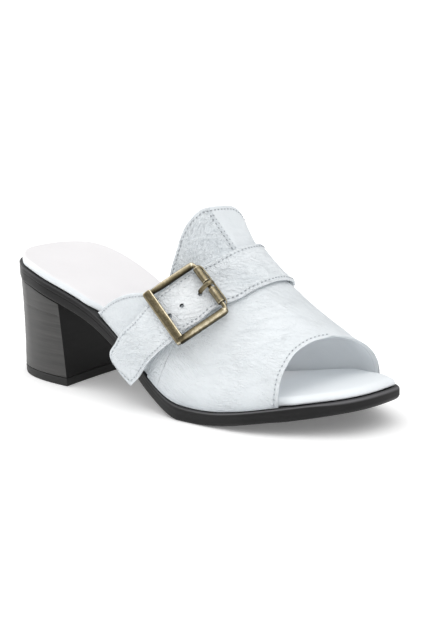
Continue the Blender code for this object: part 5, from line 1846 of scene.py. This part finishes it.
_faces.append(list(reversed(range(_side_count))))
_faces.append(list(range((len(_p) - 1) * _side_count, len(_p) * _side_count)))
buckle = piece(
    "buckle_frame_bars",
    np.concatenate(_points),
    _faces,
    BRASS,
    "aged_brass",
    ["buckle_frame"],
    smooth=38.0,
    marks={"wear_and_light": np.clip(np.concatenate(_wear_and_light), 0, 1)},
)


# the wide bar: a cast bar with eased edges and rounded ends; its edges and ends are rubbed bright, along the top edges
# that brightness is partly a painted highlight, and a darker middle and painted shade underneath go with it
_far = BUCKLE_HALF_ALONG + BUCKLE_FLARE[0]
_half = BUCKLE_HALF_ACROSS + BUCKLE_FLARE[1] + 1.5
_cast = [(-0.42, 0.98), (-0.15, 1.03), (0.10, 1.04), (0.38, 1.03), (0.62, 1.0), (0.78, 0.97), (0.90, 0.90), (0.98, 0.76), (1.0, 0.56)]
_cast += [(1.0, -0.6), (0.85, -1.0), (-0.85, -1.0), (-1.0, -0.6), (-1.0, 0.15), (-0.97, 0.45), (-0.86, 0.70), (-0.66, 0.88)]
_worn_and_lit = [0.54, 0.40, 0.36, 0.40, 0.50, 0.90, 0.98, 0.60, 0.24, 0.02, 0.0, 0.0, 0.05, 0.30, 0.55, 0.66, 0.60]
_cast, _worn_and_lit = np.array(_cast), np.array(_worn_and_lit)
_low_end, _high_end = -_half + 0.1, _half + 0.15
_s = np.linspace(_low_end, _high_end, 90)
_s[1:5] = _low_end + np.array([0.12, 0.34, 0.62, 0.95])
_s[-5:-1] = _high_end - np.array([0.95, 0.62, 0.34, 0.12])
_edge = np.clip(1 - np.minimum(_s - _low_end, _high_end - _s) / 1.1, 0, 1)
_ease = np.sqrt(np.maximum(1 - _edge**2, 0))
_hang = 0.60 + 0.25 * _s / _half
_face_wobble = 0.05 * layered(_s / 2.6, _s * 0 + 3.0, 151, 2)
_points, _faces = tube(
    np.array([_centre + (-_far + h) * _along + b * _over + (-0.20 + w) * _face for h, b, w in zip(_hang, _s, _face_wobble)]),
    np.array([_along] * len(_s)),
    np.array([_face] * len(_s)),
    2.42 * (0.66 + 0.34 * _ease),
    1.85 * (0.66 + 0.34 * _ease),
    section=_cast,
)
_wear_and_light = np.clip(_worn_and_lit[None, :] + 0.45 * (_edge[:, None] ** 1.5) * (_cast[None, :, 1] > 0), 0, 1)
wide_bar = piece("buckle_wide_bar", _points, _faces, BRASS, "aged_brass", smooth=50.0, marks={"wear_and_light": _wear_and_light.ravel()})


def turned(name, axis, profile, sides=40, wear_and_light=None):
    """A round body about a bar of the frame: profile is (radius, place along _over)."""
    points, faces, lit_and_rubbed = [], [], []
    m = len(profile)
    for i in range(sides):
        a = 2 * math.pi * i / sides
        out = math.cos(a) * _along + math.sin(a) * _face
        for k, (r, h) in enumerate(profile):
            points.append(axis + r * out + h * _over)
            # painted light and shade: lighter on the side facing out from the strap, darker on the side against it
            lit_and_rubbed.append(wear_and_light[k] + 0.25 * math.sin(a))
        n = (i + 1) % sides
        for k in range(m):
            j = (k + 1) % m
            faces.append([i * m + k, n * m + k, n * m + j, i * m + j])
    return piece(name, np.array(points), faces, BRASS, "aged_brass", smooth=50.0, marks={"wear_and_light": np.clip(lit_and_rubbed, 0, 1)})


def sleeve(name, low, high, node):
    inner, outer = BAR_RADIUS + GAP, SLEEVE_RADIUS
    middle = [(outer - 0.03, low + f * (high - low)) for f in np.linspace(0.12, 0.88, 9)]
    profile = (
        [(inner, low), (outer - 0.42, low), (outer - 0.12, low + 0.10), (outer, low + 0.36), (outer - 0.02, low + 0.62)]
        + middle
        + [(outer - 0.02, high - 0.62), (outer, high - 0.36), (outer - 0.12, high - 0.10), (outer - 0.42, high), (inner, high)]
    )
    wear_and_light = [0.0, 0.10, 0.50, 0.70, 0.42] + [0.40] * 9 + [0.42, 0.70, 0.50, 0.10, 0.0]
    made = turned(name, _centre + BUCKLE_HALF_ALONG * _along, profile, wear_and_light=wear_and_light)
    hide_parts(node)
    return made


sleeve("sleeve_upper", 2.2, 11.6, "buckle_sleeve_upper")
sleeve("sleeve_lower", -11.5, -2.1, "buckle_sleeve_lower")

# a thin rail of the frame beside the sleeves, corner to corner
_f = np.linspace(0, 1, 40)
_rail = np.stack([16.25 - 1.5 * np.abs(2 * _f - 1) ** 12, -13.6 + 26.2 * _f], -1)
_points, _faces = tube(
    np.array([_centre + a * _along + b * _over - 0.35 * _face for a, b in _rail]),
    np.array([_along] * 40),
    np.array([_face] * 40),
    0.45,
    0.5,
    sides=16,
)
# painted light and shade: lighter on top, darker underneath
_lit_and_rubbed = 0.42 + 0.3 * np.tile(np.sin(np.linspace(0, 2 * math.pi, 16, endpoint=False)), 40)
piece("buckle_rail", _points, _faces, BRASS, "aged_brass", smooth=60.0, marks={"wear_and_light": np.clip(_lit_and_rubbed, 0, 1)})

PRONG_AT = 0.25
_bend = BAR_RADIUS + GAP + PRONG_RADIUS
_wire = [
    (BUCKLE_HALF_ALONG + _bend * math.cos(math.radians(d)), _bend * math.sin(math.radians(d)))
    for d in (-28, 0, 25, 50, 75, 95, 112)
]
_end = _wire[-1]
_wire += [(_end[0] - 1.2, _end[1] - 0.5), (_end[0] - 3.0, _end[1] - 1.5), (_end[0] - 4.4, _end[1] - 2.5), (_end[0] - 5.2, _end[1] - 3.2)]
_wire = np.array(_wire)
_run = np.concatenate([[0], np.cumsum(np.linalg.norm(np.diff(_wire, axis=0), axis=1))])
_at = np.linspace(0, _run[-1], 60)
_line = np.stack([natural(list(zip(_run, _wire[:, c])), 1)(_at) for c in range(2)], -1)
_dir = np.gradient(_line, axis=0)
_dir /= np.linalg.norm(_dir, axis=1, keepdims=True)
_gone = _at / _run[-1]
_size = np.interp(_gone, [0, 0.03, 0.72, 0.9, 0.975, 1.0], [0.55, PRONG_RADIUS, PRONG_RADIUS, 0.74, 0.62, 0.48])
_across = np.interp(_gone, [0, 0.03, 0.75, 0.9, 0.975, 1.0], [0.9, PRONG_HALF_ACROSS, PRONG_HALF_ACROSS, 1.2, 1.1, 0.9])
_sec = section_of(((1.0, -0.6), (1.0, 0.35), (0.55, 0.95), (-0.55, 0.95), (-1.0, 0.35), (-1.0, -0.6), (-0.5, -1.0), (0.5, -1.0)), 0.15, 2)
_points, _faces = tube(
    np.array([_centre + a * _along + b * _face + PRONG_AT * _over for a, b in _line]),
    np.array([_over] * len(_line)),
    np.array([-b * _along + a * _face for a, b in _dir]),
    _across,
    _size,
    section=_sec,
)
# painted light and shade: lighter the higher it stands, and brighter along its sides
_lit_and_rubbed = 0.30 + 0.30 * np.clip((_points - _centre) @ _face / 2.0, -1, 1) + 0.25 * np.tile(np.abs(_sec[:, 0]) > 0.9, len(_line))
prong = piece("prong", _points, _faces, BRASS, "aged_brass", ["buckle_prong"], smooth=50.0, marks={"wear_and_light": np.clip(_lit_and_rubbed, 0, 1)})


# ---------------------------------------------------------------- floor, light and camera
_size = 6.0
floor_mesh = bpy.data.meshes.new("floor")
floor_mesh.from_pydata([(-_size, -_size, 0), (_size, -_size, 0), (_size, _size, 0), (-_size, _size, 0)], [], [(0, 1, 2, 3)])
floor = bpy.data.objects.new("floor", floor_mesh)
bpy.context.scene.collection.objects.link(floor)
_g = Graph("floor_paper", 0.85, specular=0.15)
# a faint glow lifts the paper's shadows, as in a bright product shot
_g.shader.inputs["Emission Color"].default_value = (1.0, 1.0, 1.0, 1.0)
_g.shader.inputs["Emission Strength"].default_value = 0.155
_paper = _g.noise(_g.mapping(_g.add("ShaderNodeTexCoord").outputs["Object"], (40.0, 40.0, 40.0)), 1.0, 2.0)
floor_mesh.materials.append(_g.finish(_g.ramp(_paper, ((0.3, (0.955, 0.955, 0.955)), (0.7, (0.965, 0.965, 0.965)))), None, None))
floor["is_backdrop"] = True


def studio():
    """A dome of broad soft lights: a key from the heel, one over the camera, one overhead and
    weaker ones from the toe and the medial side."""
    world = bpy.data.worlds.new("studio")
    bpy.context.scene.world = world
    world.use_nodes = True
    tree = world.node_tree
    nodes, links = tree.nodes, tree.links
    for node in list(nodes):
        nodes.remove(node)
    out = nodes.new("ShaderNodeOutputWorld")
    coordinate = nodes.new("ShaderNodeTexCoord")

    def lobe(direction, sharp, amount):
        direction = Vector(direction).normalized()
        dot = nodes.new("ShaderNodeVectorMath")
        dot.operation = "DOT_PRODUCT"
        links.new(coordinate.outputs["Generated"], dot.inputs[0])
        dot.inputs[1].default_value = direction
        shift = nodes.new("ShaderNodeMath")
        shift.operation = "SUBTRACT"
        links.new(dot.outputs["Value"], shift.inputs[0])
        shift.inputs[1].default_value = 1.0
        scale = nodes.new("ShaderNodeMath")
        scale.operation = "MULTIPLY"
        links.new(shift.outputs[0], scale.inputs[0])
        scale.inputs[1].default_value = sharp
        power = nodes.new("ShaderNodeMath")
        power.operation = "EXPONENT"
        links.new(scale.outputs[0], power.inputs[0])
        times = nodes.new("ShaderNodeMath")
        times.operation = "MULTIPLY"
        links.new(power.outputs[0], times.inputs[0])
        times.inputs[1].default_value = amount
        return times.outputs[0]

    total = None
    for direction, sharp, amount in LOBES:
        part = lobe(direction, sharp, amount)
        if total is None:
            total = part
        else:
            add = nodes.new("ShaderNodeMath")
            add.operation = "ADD"
            links.new(total, add.inputs[0])
            links.new(part, add.inputs[1])
            total = add.outputs[0]
    add = nodes.new("ShaderNodeMath")
    add.operation = "ADD"
    links.new(total, add.inputs[0])
    add.inputs[1].default_value = BASE_LIGHT
    light = nodes.new("ShaderNodeBackground")
    links.new(add.outputs[0], light.inputs["Strength"])
    light.inputs["Color"].default_value = (1.0, 1.0, 1.0, 1.0)
    plain = nodes.new("ShaderNodeBackground")
    plain.inputs["Strength"].default_value = 1.0
    path = nodes.new("ShaderNodeLightPath")
    mix = nodes.new("ShaderNodeMixShader")
    links.new(path.outputs["Is Camera Ray"], mix.inputs["Fac"])
    links.new(light.outputs[0], mix.inputs[1])
    links.new(plain.outputs[0], mix.inputs[2])
    links.new(mix.outputs[0], out.inputs["Surface"])


# direction, sharpness, strength
LOBES = (
    ((-0.95, -0.15, 0.40), 5.0, 2.20),
    ((0.45, -0.45, 0.80), 7.0, 1.64),
    ((0.05, 0.10, 1.0), 5.0, 1.42),
    ((1.0, -0.05, 0.35), 5.0, 0.40),
    ((0.10, 0.90, 0.45), 5.0, 0.32),
)
BASE_LIGHT = 0.06
studio()
bpy.context.scene.view_settings.view_transform = "Standard"
bpy.context.scene.view_settings.look = "None"

AZIMUTH, ELEVATION, DISTANCE, FOCAL, ROLL = 41.0, 14.12, 1002.8, 1929.2, 2.305
_a, _e = math.radians(AZIMUTH), math.radians(ELEVATION)
_target = np.array([120.0, 0.0, 35.0])
_r = np.array([math.cos(_a), math.sin(_a), 0.0])
_b = np.array([math.sin(_a) * math.cos(_e), -math.cos(_a) * math.cos(_e), math.sin(_e)])
_u = np.cross(_b, _r)
_ro = math.radians(ROLL)
_right = _r * math.cos(_ro) - _u * math.sin(_ro)
_up = _r * math.sin(_ro) + _u * math.cos(_ro)
_forward = -_b + _right * 15.12 / FOCAL + _up * 13.84 / FOCAL
_forward /= np.linalg.norm(_forward)
_right = _right - _forward * (_right @ _forward)
_right /= np.linalg.norm(_right)
_up = np.cross(_right, _forward)
camera_data = bpy.data.cameras.new("camera")
camera_data.sensor_width = 36.0
camera_data.lens = FOCAL / 631.0 * 36.0
camera_data.clip_start, camera_data.clip_end = 0.01, 50.0
camera = bpy.data.objects.new("camera", camera_data)
bpy.context.scene.collection.objects.link(camera)
camera.matrix_world = Matrix(
    [
        [_right[0], _up[0], -_forward[0], (_target + DISTANCE * _b - SHIFT)[0] * 0.001],
        [_right[1], _up[1], -_forward[1], (_target + DISTANCE * _b - SHIFT)[1] * 0.001],
        [_right[2], _up[2], -_forward[2], (_target + DISTANCE * _b - SHIFT)[2] * 0.001],
        [0, 0, 0, 1],
    ]
)
bpy.context.scene.camera = camera

# ---------------------------------------------------------------- size
bpy.context.view_layer.update()
_low, _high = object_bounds()
{"cad": [list(cad_low), list(cad_high)], "visual": [list(_low), list(_high)]}
